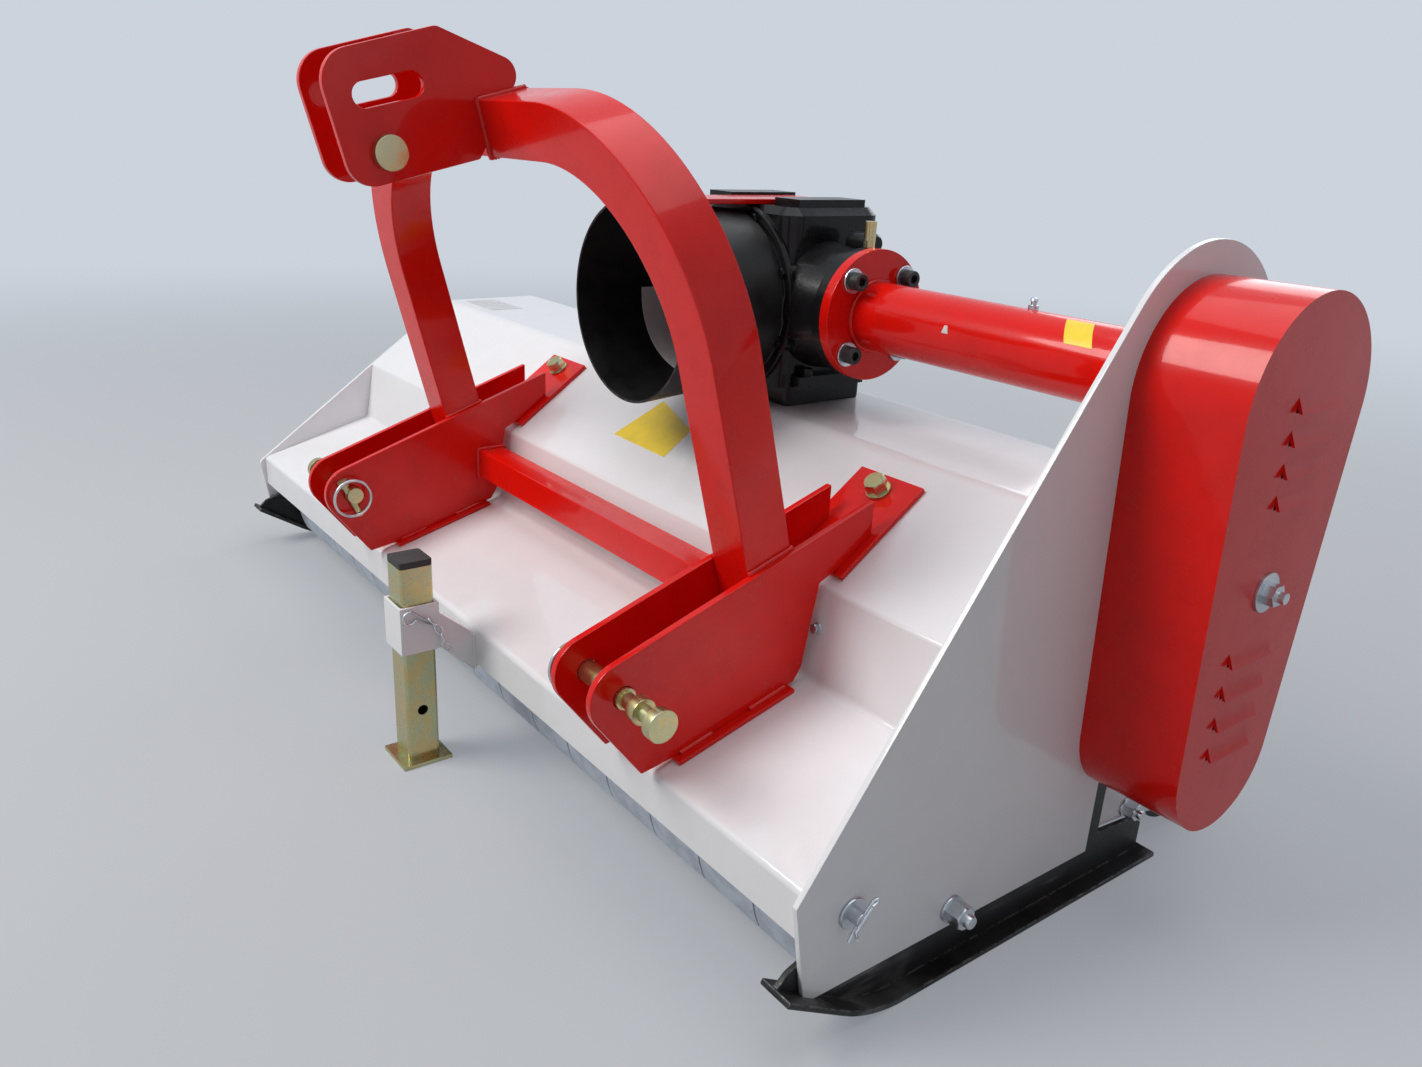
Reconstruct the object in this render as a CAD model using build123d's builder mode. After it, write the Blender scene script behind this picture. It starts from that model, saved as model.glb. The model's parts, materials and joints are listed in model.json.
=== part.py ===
"""Tractor mulcher with an offset three-point hitch, in millimetres, +Z up.

X runs across the machine, the belt drive on its +X side. Y runs from the tractor (-Y) to the rear (+Y).
The origin lies on the floor below the middle of the whole machine.
"""
import math
import os

from build123d import *

# Hitch, as the tractor fixes it
pin_spread = 683.0          # between the middles of the lower clevises
pin_height = 252.0          # lower pins above the floor when parked
mast_height = 453.0         # top link pin above the lower pins
top_pin_ahead = 61.0        # top link pin ahead of the lower pins
lower_pin_diameter = 22.0
top_pin_diameter = 19.0
clevis_gap = 56.0
clevis_plate = 8.0
top_plate = 8.0
pin_hole_play = 0.25        # radial, between a pin and its hole
seat_gap = 0.3              # where a piece rests on a curved or sloping one

# Where the hitch stands in the model's frame
hitch_x = 82.5
pin_y = -291.7

# Hood and its side plates, Y measured from the lower pins and Z from the floor
hood_right = 597.0          # outer face of the right side plate, from the hitch middle
hood_left = 853.0           # outer face of the left side plate, from the hitch middle
side_sheet = 6.0
hood_sheet = 4.0
flange_y = 37.5
flange_bottom = 89.0
deck_front_z = 159.0
deck_back_y = 226.0
deck_back_z = 212.0
riser_top_y = 242.0
riser_top_z = 308.0
ridge_y = 392.0
ridge_z = 415.0
roof_back_y = 587.0
hood_back_y = 690.0
hood_back_top_z = 250.0
hood_back_bottom_z = 175.0
ridge_radius = 32.0
bend_radius = 8.0
side_front_y = 27.0
side_bottom_z = 46.0
notch_y = 440.0
notch_top_z = 160.0

# Belt drive
belt_upper_y = 470.0
belt_upper_z = 541.0
belt_upper_radius = 100.0
rotor_y = 466.0
rotor_z = 204.0
belt_lower_radius = 76.0
cover_depth = 105.0
cover_sheet = 3.0
plate_arc_radius = 130.0

# Rotor
rotor_tube_radius = 54.0
rotor_tip_radius = 152.0
rotor_shaft_radius = 20.0
rotor_side_gap = 20.0
rotor_shaft_end = 20.0      # shaft beyond each side plate
lug_height = 36.0
lug_thickness = 10.0
hammer_count = 16

# Rear roller
roller_y = 645.0
roller_radius = 60.0
roller_side_gap = 22.0

# Gearbox and shaft tube
gear_y = 470.0
gear_half_width = 100.0
gear_front_y = 400.0
gear_back_y = 556.0
gear_drop = 100.0           # shaft axis above the underside of the housing
gear_boss_x = 172.0
tube_radius = 40.0
flange_radius = 77.0
flange_thickness = 14.0
shield_front_y = 241.0
shield_back_y = 392.0
shield_radius = 120.0
shield_back_radius = 108.0
shield_wall = 3.0
bracket_front_y = 300.0
bracket_back_y = 520.0
input_radius = 17.5

# Arch of the hitch frame
arch_tube = 56.0
arch_wall = 5.0
arch_bend = 200.0
arch_tilt = 14.9            # degrees, leaning forward from upright
arch_base_y = 172.0
arch_base_z = 344.0
arch_above_pin = 32.3       # middle of the top of the arch above the top link pin
arch_foot = 74.0            # straight leg below the base point

# Cross tube
cross_size = 40.0
cross_y = 209.0
cross_z = 269.0

# Front flaps
flap_rod_y = 92.0
flap_rod_z = 121.0
flap_rod_radius = 7.0
flap_count = 16
flap_thickness = 4.0
flap_length = 96.0
flap_eye_radius = 11.0
flap_gap = 1.5
flap_play = 0.5             # radial, between an eye and the rod
flap_side_gap = 12.0        # between the row and each side plate

# Parking stand
stand_x = -25.0
stand_y = -36.0
stand_tube = 40.0
stand_wall = 3.0
stand_top_z = 262.0
socket_height = 60.0
socket_wall = 4.0
socket_z = 148.0
socket_play = 0.4

# Skids
skid_width = 60.0
skid_sole = 6.0
skid_web = 6.0
skid_back_y = 560.0
skid_nose_radius = 60.0

# Worked out from the sizes above
half_spread = pin_spread / 2
right_face = hitch_x + hood_right
left_face = hitch_x - hood_left
right_inner = right_face - side_sheet
left_inner = left_face + side_sheet
hood_width = right_inner - left_inner
top_pin_z = pin_height + mast_height

os.makedirs("parts", exist_ok=True)


def across(x):
    """A plane facing +X at x, whose own axes are Y from the lower pins and Z from the floor."""
    return Plane(origin=(x, pin_y, 0), x_dir=(0, 1, 0), z_dir=(1, 0, 0))


def slope_height(y, y0, z0, y1, z1):
    """Height at y on the straight line through two points of the profile."""
    return z0 + (z1 - z0) * (y - y0) / (y1 - y0)


def deck_height(y):
    return slope_height(y, flange_y, deck_front_z, deck_back_y, deck_back_z)


def slant_height(y):
    return slope_height(y, riser_top_y, riser_top_z, ridge_y, ridge_z)


def shield_reach(y):
    """Outer radius of the drive shaft shield at y."""
    return slope_height(y, shield_front_y, shield_radius, shield_back_y, shield_back_radius)


def tangent_point(point, centre, radius, turn):
    """Where a line from a point touches a circle, on the left (turn 1) or right (turn -1) side."""
    dy = centre[0] - point[0]
    dz = centre[1] - point[1]
    reach = math.hypot(dy, dz)
    angle = math.atan2(dz, dy) + turn * math.asin(radius / reach)
    length = math.sqrt(reach * reach - radius * radius)
    return (point[0] + length * math.cos(angle), point[1] + length * math.sin(angle))


# Hood: one sheet bent along X, from the front flange over the roof to the rear flange
hood_skin = [
    (flange_y, flange_bottom),
    (flange_y, deck_front_z),
    (deck_back_y, deck_back_z),
    (riser_top_y, riser_top_z),
    (ridge_y, ridge_z),
    (roof_back_y, ridge_z),
    (hood_back_y, hood_back_top_z),
    (hood_back_y, hood_back_bottom_z),
]
hood_bends = [bend_radius, bend_radius, bend_radius, ridge_radius, ridge_radius, ridge_radius]
with BuildPart() as hood:
    with BuildSketch(across(left_inner)):
        with BuildLine():
            skin = FilletPolyline(*hood_skin, radius=hood_bends)
            offset(skin, amount=hood_sheet, side=Side.RIGHT)
        make_face()
    extrude(amount=hood_width)
hood.part.label = "hood"
export_step(hood.part, "parts/hood.step")

# Lower outline that both side plates share, from the rear edge round to the front edge
side_lower = [
    (hood_back_y, hood_back_bottom_z),
    (hood_back_y - 30, notch_top_z),
    (notch_y, notch_top_z),
    (notch_y, side_bottom_z),
    (side_front_y + 18, side_bottom_z),
    (side_front_y, deck_front_z - 8),
]

# Right side plate: steep front edge, and a round top concentric with the upper pulley
upper_centre = (belt_upper_y, belt_upper_z)
arc_front = tangent_point(side_lower[-1], upper_centre, plate_arc_radius, 1)
arc_back = tangent_point((hood_back_y, hood_back_top_z), upper_centre, plate_arc_radius, -1)
with BuildPart() as side_plate_right:
    with BuildSketch(across(right_inner)):
        with BuildLine():
            Polyline(arc_back, (hood_back_y, hood_back_top_z), *side_lower, arc_front)
            ThreePointArc(arc_front, (belt_upper_y, belt_upper_z + plate_arc_radius), arc_back)
        make_face()
        with Locations((rotor_y, rotor_z)):
            Circle(rotor_shaft_radius + pin_hole_play, mode=Mode.SUBTRACT)
        with Locations((flap_rod_y, flap_rod_z)):
            Circle(flap_rod_radius + pin_hole_play, mode=Mode.SUBTRACT)
    extrude(amount=side_sheet)
side_plate_right.part.label = "side_plate_right"
export_step(side_plate_right.part, "parts/side_plate_right.step")

# Left side plate: its upper edge runs straight to the riser and then follows the hood
left_outline = [
    (riser_top_y, riser_top_z),
    (ridge_y, ridge_z),
    (roof_back_y, ridge_z),
    (hood_back_y, hood_back_top_z),
    *side_lower,
]
left_radii = [0, ridge_radius, ridge_radius, ridge_radius] + [0] * 4 + [6, 12]
with BuildPart() as side_plate_left:
    with BuildSketch(across(left_face)):
        with BuildLine():
            FilletPolyline(*left_outline, radius=left_radii, close=True)
        make_face()
        with Locations((rotor_y, rotor_z)):
            Circle(rotor_shaft_radius + pin_hole_play, mode=Mode.SUBTRACT)
        with Locations((flap_rod_y, flap_rod_z)):
            Circle(flap_rod_radius + pin_hole_play, mode=Mode.SUBTRACT)
    extrude(amount=side_sheet)
side_plate_left.part.label = "side_plate_left"
export_step(side_plate_left.part, "parts/side_plate_left.step")

# Belt cover: a pressed box round both pulleys, open towards the side plate, with louvres
louvre_count = 4
louvre_height = 14.0
louvre_rise = 6.0
louvre_rows = [
    # lowest louvre's Z, step in Z, front Y, back Y
    (220.0, 32.0, 430.0, 496.0),
    (462.0, 28.5, 448.0, 514.0),
]
louvre_mouth = [
    # outwards from the cover's face and up from the louvre's middle: the opening behind the lip
    (-cover_sheet - 1, -louvre_height / 2),
    (1, -louvre_height / 2),
    (1, louvre_height / 2 - cover_sheet),
    (-cover_sheet - 1, louvre_height / 2 - cover_sheet),
]
louvre_lip = [
    # the pressed lip, from the sheet above the opening out and down
    (-cover_sheet, louvre_height / 2),
    (0, louvre_height / 2),
    (louvre_rise, -louvre_height / 2),
    (louvre_rise - cover_sheet, -louvre_height / 2),
    (-cover_sheet, louvre_height / 2 - cover_sheet),
]
with BuildPart() as belt_cover:
    with BuildSketch(across(right_face)):
        with Locations(upper_centre):
            Circle(belt_upper_radius)
        with Locations((rotor_y, rotor_z)):
            Circle(belt_lower_radius)
        make_hull()
    extrude(amount=cover_depth)
    with BuildSketch(across(right_face)):
        with Locations(upper_centre):
            Circle(belt_upper_radius - cover_sheet)
        with Locations((rotor_y, rotor_z)):
            Circle(belt_lower_radius - cover_sheet)
        make_hull()
    extrude(amount=cover_depth - cover_sheet, mode=Mode.SUBTRACT)
    for first_z, step, front_y, back_y in louvre_rows:
        for index in range(louvre_count):
            louvre_z = first_z + index * step
            louvre_plane = Plane(
                origin=(right_face + cover_depth, pin_y + front_y, louvre_z),
                x_dir=(1, 0, 0),
                z_dir=(0, -1, 0),
            )
            with BuildSketch(louvre_plane):
                Polygon(*louvre_mouth, align=None)
            extrude(amount=front_y - back_y, mode=Mode.SUBTRACT)
            with BuildSketch(louvre_plane):
                Polygon(*louvre_lip, align=None)
            extrude(amount=front_y - back_y)
belt_cover.part.label = "belt_cover"
export_step(belt_cover.part, "parts/belt_cover.step")

# Nut on a stud that holds the cover, on a washer on its outer face
knob_z = 375.0
knob_radius = 11.0
knob_depth = 20.0
knob_washer_radius = 19.0
knob_washer = 3.0
with BuildPart() as cover_knob:
    with BuildSketch(across(right_face + cover_depth)):
        with Locations((rotor_y + 2, knob_z)):
            Circle(knob_washer_radius)
    extrude(amount=knob_washer)
    with BuildSketch(across(right_face + cover_depth)):
        with Locations((rotor_y + 2, knob_z)):
            RegularPolygon(knob_radius, 6)
    extrude(amount=knob_depth / 2 + knob_washer)
    with BuildSketch(across(right_face + cover_depth + knob_depth / 2)):
        with Locations((rotor_y + 2, knob_z)):
            Circle(knob_radius / 2)
    extrude(amount=knob_depth / 2)
cover_knob.part.label = "cover_knob"
export_step(cover_knob.part, "parts/cover_knob.step")

# Gearbox base, welded on the roof
gear_bottom_z = belt_upper_z - gear_drop
gear_top_z = belt_upper_z + shield_reach(bracket_front_y) + seat_gap
gear_length = gear_back_y - gear_front_y
gear_mid_y = (gear_front_y + gear_back_y) / 2
base_inset = 14.0
with BuildPart() as gearbox_base:
    with BuildSketch(Plane.XY.offset(ridge_z)):
        with Locations((hitch_x, pin_y + gear_mid_y + 8)):
            RectangleRounded(2 * gear_half_width - base_inset, gear_length - 2 * base_inset, 8)
    extrude(amount=gear_bottom_z - ridge_z)
gearbox_base.part.label = "gearbox_base"
export_step(gearbox_base.part, "parts/gearbox_base.step")

# Gearbox housing: a cast box on feet, a bearing ring at the input, a tapered boss at the output
ring_radius = 97.0
ring_depth = 14.0
rim_radius = 106.0
rim_depth = 9.0
boss_radius = 70.0
boss_foot_radius = 77.0
boss_ring_radius = 76.0
boss_ring_depth = 14.0
back_cap_radius = 62.0
back_cap_depth = 14.0
left_cap_radius = 74.0
left_cap_depth = 16.0
casting_radius = 24.0
casting_edge = 9.0
feet_overhang = 14.0
feet_height = 15.0
pad_width = 46.0
pad_height = 9.0
pad_offset = 66.0
input_depth = 40.0
boss_length = gear_boss_x - gear_half_width - boss_ring_depth
gear_axis = Plane(
    origin=(hitch_x, pin_y + gear_front_y, belt_upper_z), x_dir=(-1, 0, 0), z_dir=(0, 1, 0)
)
with BuildPart() as gearbox_housing:
    with BuildSketch(Plane.XY.offset(gear_bottom_z)):
        with Locations((hitch_x, pin_y + gear_mid_y)):
            RectangleRounded(2 * gear_half_width, gear_length, casting_radius)
    extrude(amount=gear_top_z - gear_bottom_z)
    chamfer(gearbox_housing.faces().sort_by(Axis.Z)[-1].edges(), casting_edge)
    with BuildSketch(Plane.XY.offset(gear_bottom_z)):
        with Locations((hitch_x, pin_y + gear_mid_y)):
            Rectangle(2 * (gear_half_width + feet_overhang), gear_length - 2 * casting_radius)
    extrude(amount=feet_height)
    with BuildSketch(gear_axis):
        Circle(rim_radius)
    extrude(amount=rim_depth)
    with BuildSketch(gear_axis.offset(-ring_depth)):
        Circle(ring_radius)
    extrude(amount=ring_depth)
    with BuildSketch(gear_axis.offset(gear_length)):
        Circle(back_cap_radius)
    extrude(amount=back_cap_depth)
    with BuildSketch(across(hitch_x + gear_half_width)):
        with Locations((gear_y, belt_upper_z)):
            Circle(boss_foot_radius)
    extrude(
        amount=boss_length,
        taper=math.degrees(math.atan2(boss_foot_radius - boss_radius, boss_length)),
    )
    with BuildSketch(across(hitch_x + gear_half_width + boss_length)):
        with Locations((gear_y, belt_upper_z)):
            Circle(boss_ring_radius)
    extrude(amount=boss_ring_depth)
    with BuildSketch(across(hitch_x - gear_half_width - left_cap_depth)):
        with Locations((gear_y, belt_upper_z)):
            Circle(left_cap_radius)
    extrude(amount=left_cap_depth)
    with BuildSketch(Plane.XY.offset(gear_top_z)):
        with Locations(
            (hitch_x - pad_offset, pin_y + gear_mid_y), (hitch_x + pad_offset, pin_y + gear_mid_y)
        ):
            Rectangle(pad_width, gear_length - 2 * casting_radius)
    extrude(amount=pad_height)
    with BuildSketch(gear_axis.offset(-ring_depth)):
        Circle(input_radius + pin_hole_play)
    extrude(amount=input_depth, mode=Mode.SUBTRACT)
gearbox_housing.part.label = "gearbox_housing"
export_step(gearbox_housing.part, "parts/gearbox_housing.step")

# Breather on the output boss: a hexagon below a round cap
breather_x = gear_boss_x - boss_ring_depth / 2
breather_radius = 7.0
breather_height = 30.0
breather_nut = 8.0
with BuildPart() as gearbox_breather:
    with BuildSketch(Plane.XY.offset(belt_upper_z + boss_ring_radius + seat_gap)):
        with Locations((hitch_x + breather_x, pin_y + gear_y)):
            RegularPolygon(breather_radius, 6)
    extrude(amount=breather_nut)
    with BuildSketch(Plane.XY.offset(belt_upper_z + boss_ring_radius + seat_gap + breather_nut)):
        with Locations((hitch_x + breather_x, pin_y + gear_y)):
            Circle(breather_radius)
    extrude(amount=breather_height - breather_nut)
gearbox_breather.part.label = "gearbox_breather"
export_step(gearbox_breather.part, "parts/gearbox_breather.step")

# Input shaft: the stub that the tractor's drive shaft slides on
input_length = 95.0
with BuildPart() as input_shaft:
    with BuildSketch(gear_axis.offset(input_depth - ring_depth - 2)):
        Circle(input_radius)
    extrude(amount=-input_length)
input_shaft.part.label = "input_shaft"
export_step(input_shaft.part, "parts/input_shaft.step")

# Drive shaft shield: an open bell round the input shaft
with BuildPart() as pto_shield:
    with BuildSketch(Plane(origin=(hitch_x, pin_y, belt_upper_z), x_dir=(0, 1, 0), z_dir=(1, 0, 0))):
        with BuildLine():
            Polyline(
                (shield_front_y, shield_radius - shield_wall),
                (shield_front_y, shield_radius),
                (shield_back_y, shield_back_radius),
                (shield_back_y, shield_back_radius - shield_wall),
                close=True,
            )
        make_face()
    revolve(axis=Axis((hitch_x, pin_y, belt_upper_z), (0, 1, 0)))
pto_shield.part.label = "pto_shield"
export_step(pto_shield.part, "parts/pto_shield.step")

# Red bracket that carries the shield from the top of the gearbox
bracket_plate = 6.0
bracket_width = 70.0
with BuildPart() as shield_bracket:
    with BuildSketch(Plane.XY.offset(gear_top_z)):
        with Locations((hitch_x, pin_y + (bracket_front_y + bracket_back_y) / 2)):
            Rectangle(bracket_width, bracket_back_y - bracket_front_y)
    extrude(amount=bracket_plate)
shield_bracket.part.label = "shield_bracket"
export_step(shield_bracket.part, "parts/shield_bracket.step")

# Shaft tube between the gearbox and the belt drive
tube_wall = 5.0
with BuildPart() as shaft_tube:
    with BuildSketch(across(hitch_x + gear_boss_x)):
        with Locations((gear_y, belt_upper_z)):
            Circle(flange_radius)
    extrude(amount=flange_thickness)
    with BuildSketch(across(hitch_x + gear_boss_x + flange_thickness)):
        with Locations((gear_y, belt_upper_z)):
            Circle(tube_radius)
    extrude(amount=right_inner - hitch_x - gear_boss_x - flange_thickness)
    with BuildSketch(across(hitch_x + gear_boss_x + flange_thickness)):
        with Locations((gear_y, belt_upper_z)):
            Circle(tube_radius - tube_wall)
    extrude(amount=right_inner - hitch_x - gear_boss_x - flange_thickness, mode=Mode.SUBTRACT)
shaft_tube.part.label = "shaft_tube"
export_step(shaft_tube.part, "parts/shaft_tube.step")

# Arch of the hitch frame: one square tube bent round both sides, in a plane that leans forward
lean = math.radians(arch_tilt)
arch_plane = Plane(
    origin=(hitch_x, pin_y + arch_base_y, arch_base_z),
    x_dir=(1, 0, 0),
    z_dir=(0, -math.cos(lean), -math.sin(lean)),
)
arch_top = (top_pin_z + arch_above_pin - arch_base_z) / math.cos(lean)
arch_path_points = [
    (-half_spread, -arch_foot),
    (-half_spread, arch_top),
    (half_spread, arch_top),
    (half_spread, -arch_foot),
]
with BuildPart() as arch_bar:
    with BuildLine(arch_plane):
        arch_path = FilletPolyline(*arch_path_points, radius=[arch_bend, arch_bend])
    with BuildSketch(Plane(origin=arch_path @ 0, x_dir=(1, 0, 0), z_dir=arch_path % 0)):
        Rectangle(arch_tube, arch_tube)
    sweep(path=arch_path)
with BuildPart() as hitch_arch:
    with BuildLine(arch_plane):
        arch_line = FilletPolyline(*arch_path_points, radius=[arch_bend, arch_bend])
    with BuildSketch(Plane(origin=arch_line @ 0, x_dir=(1, 0, 0), z_dir=arch_line % 0)):
        Rectangle(arch_tube, arch_tube)
        Rectangle(arch_tube - 2 * arch_wall, arch_tube - 2 * arch_wall, mode=Mode.SUBTRACT)
    sweep(path=arch_line)
hitch_arch.part.label = "hitch_arch"
export_step(hitch_arch.part, "parts/hitch_arch.step")

# Top link plates: notched over the arch, with a hole and a sloping slot
top_plate_outline = [
    # Y and Z from the top link pin
    (-68.0, 83.0),
    (53.0, 117.0),
    (147.0, 87.0),
    (97.0, -4.0),
    (-35.0, -37.0),
]
top_plate_radii = [32.0, 12.0, 18.0, 4.0, 26.0]
slot_centre = (3.0, 57.0)
slot_length = 73.0
slot_width = 24.0
slot_tilt = 14.0
top_pin_plane = Plane(
    origin=(hitch_x, pin_y - top_pin_ahead, top_pin_z), x_dir=(0, 1, 0), z_dir=(1, 0, 0)
)
for side, name in ((-1, "top_link_plate_left"), (1, "top_link_plate_right")):
    with BuildPart() as top_link_plate:
        with BuildSketch(top_pin_plane.offset(side * arch_tube / 2)):
            with BuildLine():
                FilletPolyline(*top_plate_outline, radius=top_plate_radii, close=True)
            make_face()
            Circle(top_pin_diameter / 2 + pin_hole_play, mode=Mode.SUBTRACT)
            with Locations(slot_centre):
                SlotOverall(slot_length, slot_width, rotation=slot_tilt, mode=Mode.SUBTRACT)
        extrude(amount=side * top_plate)
        add(arch_bar.part, mode=Mode.SUBTRACT)
    top_link_plate.part.label = name
    export_step(top_link_plate.part, f"parts/{name}.step")

# Top link pin with a round head
top_head_radius = 17.0
top_head_depth = 9.0
top_pin_end = 12.0
with BuildPart() as top_link_pin:
    with BuildSketch(top_pin_plane.offset(-arch_tube / 2 - top_plate - top_pin_end)):
        Circle(top_pin_diameter / 2)
    extrude(amount=arch_tube + 2 * top_plate + top_pin_end)
    with BuildSketch(top_pin_plane.offset(arch_tube / 2 + top_plate)):
        Circle(top_head_radius)
    extrude(amount=top_head_depth)
top_link_pin.part.label = "top_link_pin"
export_step(top_link_pin.part, "parts/top_link_pin.step")

# Lower clevises: two profiled plates each, on a foot on the deck and a strap on the slant
foot_thickness = 5.0
foot_front_y = 60.0
foot_back_y = 202.0
strap_thickness = 6.0
strap_front_y = 255.0
strap_back_y = 364.0
strap_width = 92.0
clevis_nose = 36.0
riser_gap = 9.0
clevis_front = (22.0, 164.0)
clevis_back = (300.0, 392.0)
clevis_heel_y = 208.0
nose_centre = (0.0, pin_height)
deck_angle = math.atan2(deck_back_z - deck_front_z, deck_back_y - flange_y)
slant_angle = math.atan2(ridge_z - riser_top_z, ridge_y - riser_top_y)
foot_rise = foot_thickness / math.cos(deck_angle)
strap_rise = strap_thickness / math.cos(slant_angle)
nose_low = tangent_point(clevis_front, nose_centre, clevis_nose, 1)
nose_high = tangent_point(clevis_back, nose_centre, clevis_nose, -1)
clevis_outline = [
    nose_high,
    clevis_back,
    (clevis_back[0], slant_height(clevis_back[0]) + strap_rise),
    (strap_front_y + 6, slant_height(strap_front_y + 6) + strap_rise),
    (riser_top_y - riser_gap, riser_top_z + 8),
    (deck_back_y - riser_gap, deck_height(deck_back_y) + 14),
    (clevis_heel_y, deck_height(clevis_heel_y) + foot_rise),
    (foot_front_y, deck_height(foot_front_y) + foot_rise),
    clevis_front,
    nose_low,
]
clevis_rows = [
    # name, side of the hitch, 1 for the outer plate and 0 for the inner
    ("clevis_right_outer", 1, 1),
    ("clevis_right_inner", 1, 0),
    ("clevis_left_inner", -1, 0),
    ("clevis_left_outer", -1, 1),
]
for name, side, outer in clevis_rows:
    reach = clevis_gap / 2 if outer else -clevis_gap / 2 - clevis_plate
    near = half_spread + reach
    start = hitch_x + (near if side > 0 else -near - clevis_plate)
    with BuildPart() as clevis:
        with BuildSketch(across(start)):
            with BuildLine():
                Polyline(*clevis_outline)
                ThreePointArc(nose_low, (-clevis_nose, pin_height), nose_high)
            make_face()
            with Locations(nose_centre):
                Circle(lower_pin_diameter / 2 + pin_hole_play, mode=Mode.SUBTRACT)
        extrude(amount=clevis_plate)
    clevis.part.label = name
    export_step(clevis.part, f"parts/{name}.step")

# Feet on the deck and straps on the slant, below the clevis plates
seat_rows = [
    # name, first y, last y, angle of the seat, height of the seat, thickness
    ("bracket_foot", foot_front_y, foot_back_y, deck_angle, deck_height, foot_thickness),
    ("bracket_strap", strap_front_y, strap_back_y, slant_angle, slant_height, strap_thickness),
]
for side, hand in ((1, "right"), (-1, "left")):
    for kind, y0, y1, angle, height, thick in seat_rows:
        middle = (y0 + y1) / 2
        seat = Plane(
            origin=(hitch_x + side * half_spread, pin_y + middle, height(middle)),
            x_dir=(1, 0, 0),
            z_dir=(0, -math.sin(angle), math.cos(angle)),
        )
        with BuildPart() as bracket_seat:
            with BuildSketch(seat):
                Rectangle(strap_width, (y1 - y0) / math.cos(angle))
            extrude(amount=thick)
        bracket_seat.part.label = f"{kind}_{hand}"
        export_step(bracket_seat.part, f"parts/{kind}_{hand}.step")

# Cross tube between the inner clevis plates
cross_wall = 4.0
cross_reach = half_spread - clevis_gap / 2 - clevis_plate
with BuildPart() as cross_tube:
    with BuildSketch(across(hitch_x - cross_reach)):
        with Locations((cross_y, cross_z)):
            Rectangle(cross_size, cross_size)
            Rectangle(cross_size - 2 * cross_wall, cross_size - 2 * cross_wall, mode=Mode.SUBTRACT)
    extrude(amount=2 * cross_reach)
cross_tube.part.label = "cross_tube"
export_step(cross_tube.part, "parts/cross_tube.step")

# Lower link pins: a pin through the clevis, and a thinner shank with a collar and a round head
pin_inside = 14.0
pin_outside = 4.0
shank_radius = 8.0
collar_radius = 13.0
head_radius = 16.0
pin_from = half_spread - clevis_gap / 2 - clevis_plate - pin_inside
pin_to = half_spread + clevis_gap / 2 + clevis_plate + pin_outside
pin_profile = [
    # distance from the hitch's middle, radius
    (pin_from, 0.0),
    (pin_from, lower_pin_diameter / 2),
    (pin_to, lower_pin_diameter / 2),
    (pin_to, shank_radius),
    (pin_to + 17, shank_radius),
    (pin_to + 17, collar_radius),
    (pin_to + 29, collar_radius),
    (pin_to + 29, shank_radius),
    (pin_to + 48, shank_radius),
    (pin_to + 48, head_radius),
    (pin_to + 59, head_radius),
    (pin_to + 59, 0.0),
]
for side, name in ((1, "lower_pin_right"), (-1, "lower_pin_left")):
    pin_plane = Plane(origin=(hitch_x, pin_y, pin_height), x_dir=(side, 0, 0), z_dir=(0, -1, 0))
    with BuildPart() as lower_pin:
        with BuildSketch(pin_plane):
            with BuildLine():
                Polyline(*pin_profile, close=True)
            make_face()
        revolve(axis=Axis((hitch_x, pin_y, pin_height), (1, 0, 0)))
    lower_pin.part.label = name
    export_step(lower_pin.part, f"parts/{name}.step")

# Parking stand: a square leg in a socket ahead of the front flange
socket_outer = stand_tube + 2 * (socket_wall + socket_play)
socket_back = stand_y + socket_outer / 2
stub_half = 12.0
with BuildPart() as stand_socket:
    with BuildSketch(Plane.XY.offset(socket_z)):
        with Locations((hitch_x + stand_x, pin_y + stand_y)):
            Rectangle(socket_outer, socket_outer)
    extrude(amount=socket_height)
    with BuildSketch(across(hitch_x + stand_x - stub_half)):
        with BuildLine():
            Polyline(
                (socket_back, socket_z),
                (flange_y, flange_bottom + 10),
                (flange_y, deck_front_z - bend_radius),
                (socket_back, socket_z + socket_height - 16),
                close=True,
            )
        make_face()
    extrude(amount=2 * stub_half)
    with BuildSketch(Plane.XY.offset(socket_z)):
        with Locations((hitch_x + stand_x, pin_y + stand_y)):
            Rectangle(stand_tube + 2 * socket_play, stand_tube + 2 * socket_play)
    extrude(amount=socket_height, mode=Mode.SUBTRACT)
stand_socket.part.label = "stand_socket"
export_step(stand_socket.part, "parts/stand_socket.step")

cap_height = 8.0
stand_corner = 4.0
stand_foot = 62.0
stand_foot_thickness = 5.0
stand_hole_radius = 6.5
stand_holes_z = (70.0, 178.0)
with BuildPart() as stand_leg:
    with BuildSketch(Plane.XY):
        with Locations((hitch_x + stand_x, pin_y + stand_y)):
            Rectangle(stand_foot, stand_foot)
    extrude(amount=stand_foot_thickness)
    with BuildSketch(Plane.XY.offset(stand_foot_thickness)):
        with Locations((hitch_x + stand_x, pin_y + stand_y)):
            RectangleRounded(stand_tube, stand_tube, stand_corner)
            Rectangle(stand_tube - 2 * stand_wall, stand_tube - 2 * stand_wall, mode=Mode.SUBTRACT)
    extrude(amount=stand_top_z - cap_height - stand_foot_thickness)
    with BuildSketch(across(hitch_x + stand_x - stand_tube / 2)):
        with Locations(*[(stand_y, hole_z) for hole_z in stand_holes_z]):
            Circle(stand_hole_radius)
    extrude(amount=stand_tube, mode=Mode.SUBTRACT)
stand_leg.part.label = "stand_leg"
export_step(stand_leg.part, "parts/stand_leg.step")

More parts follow.
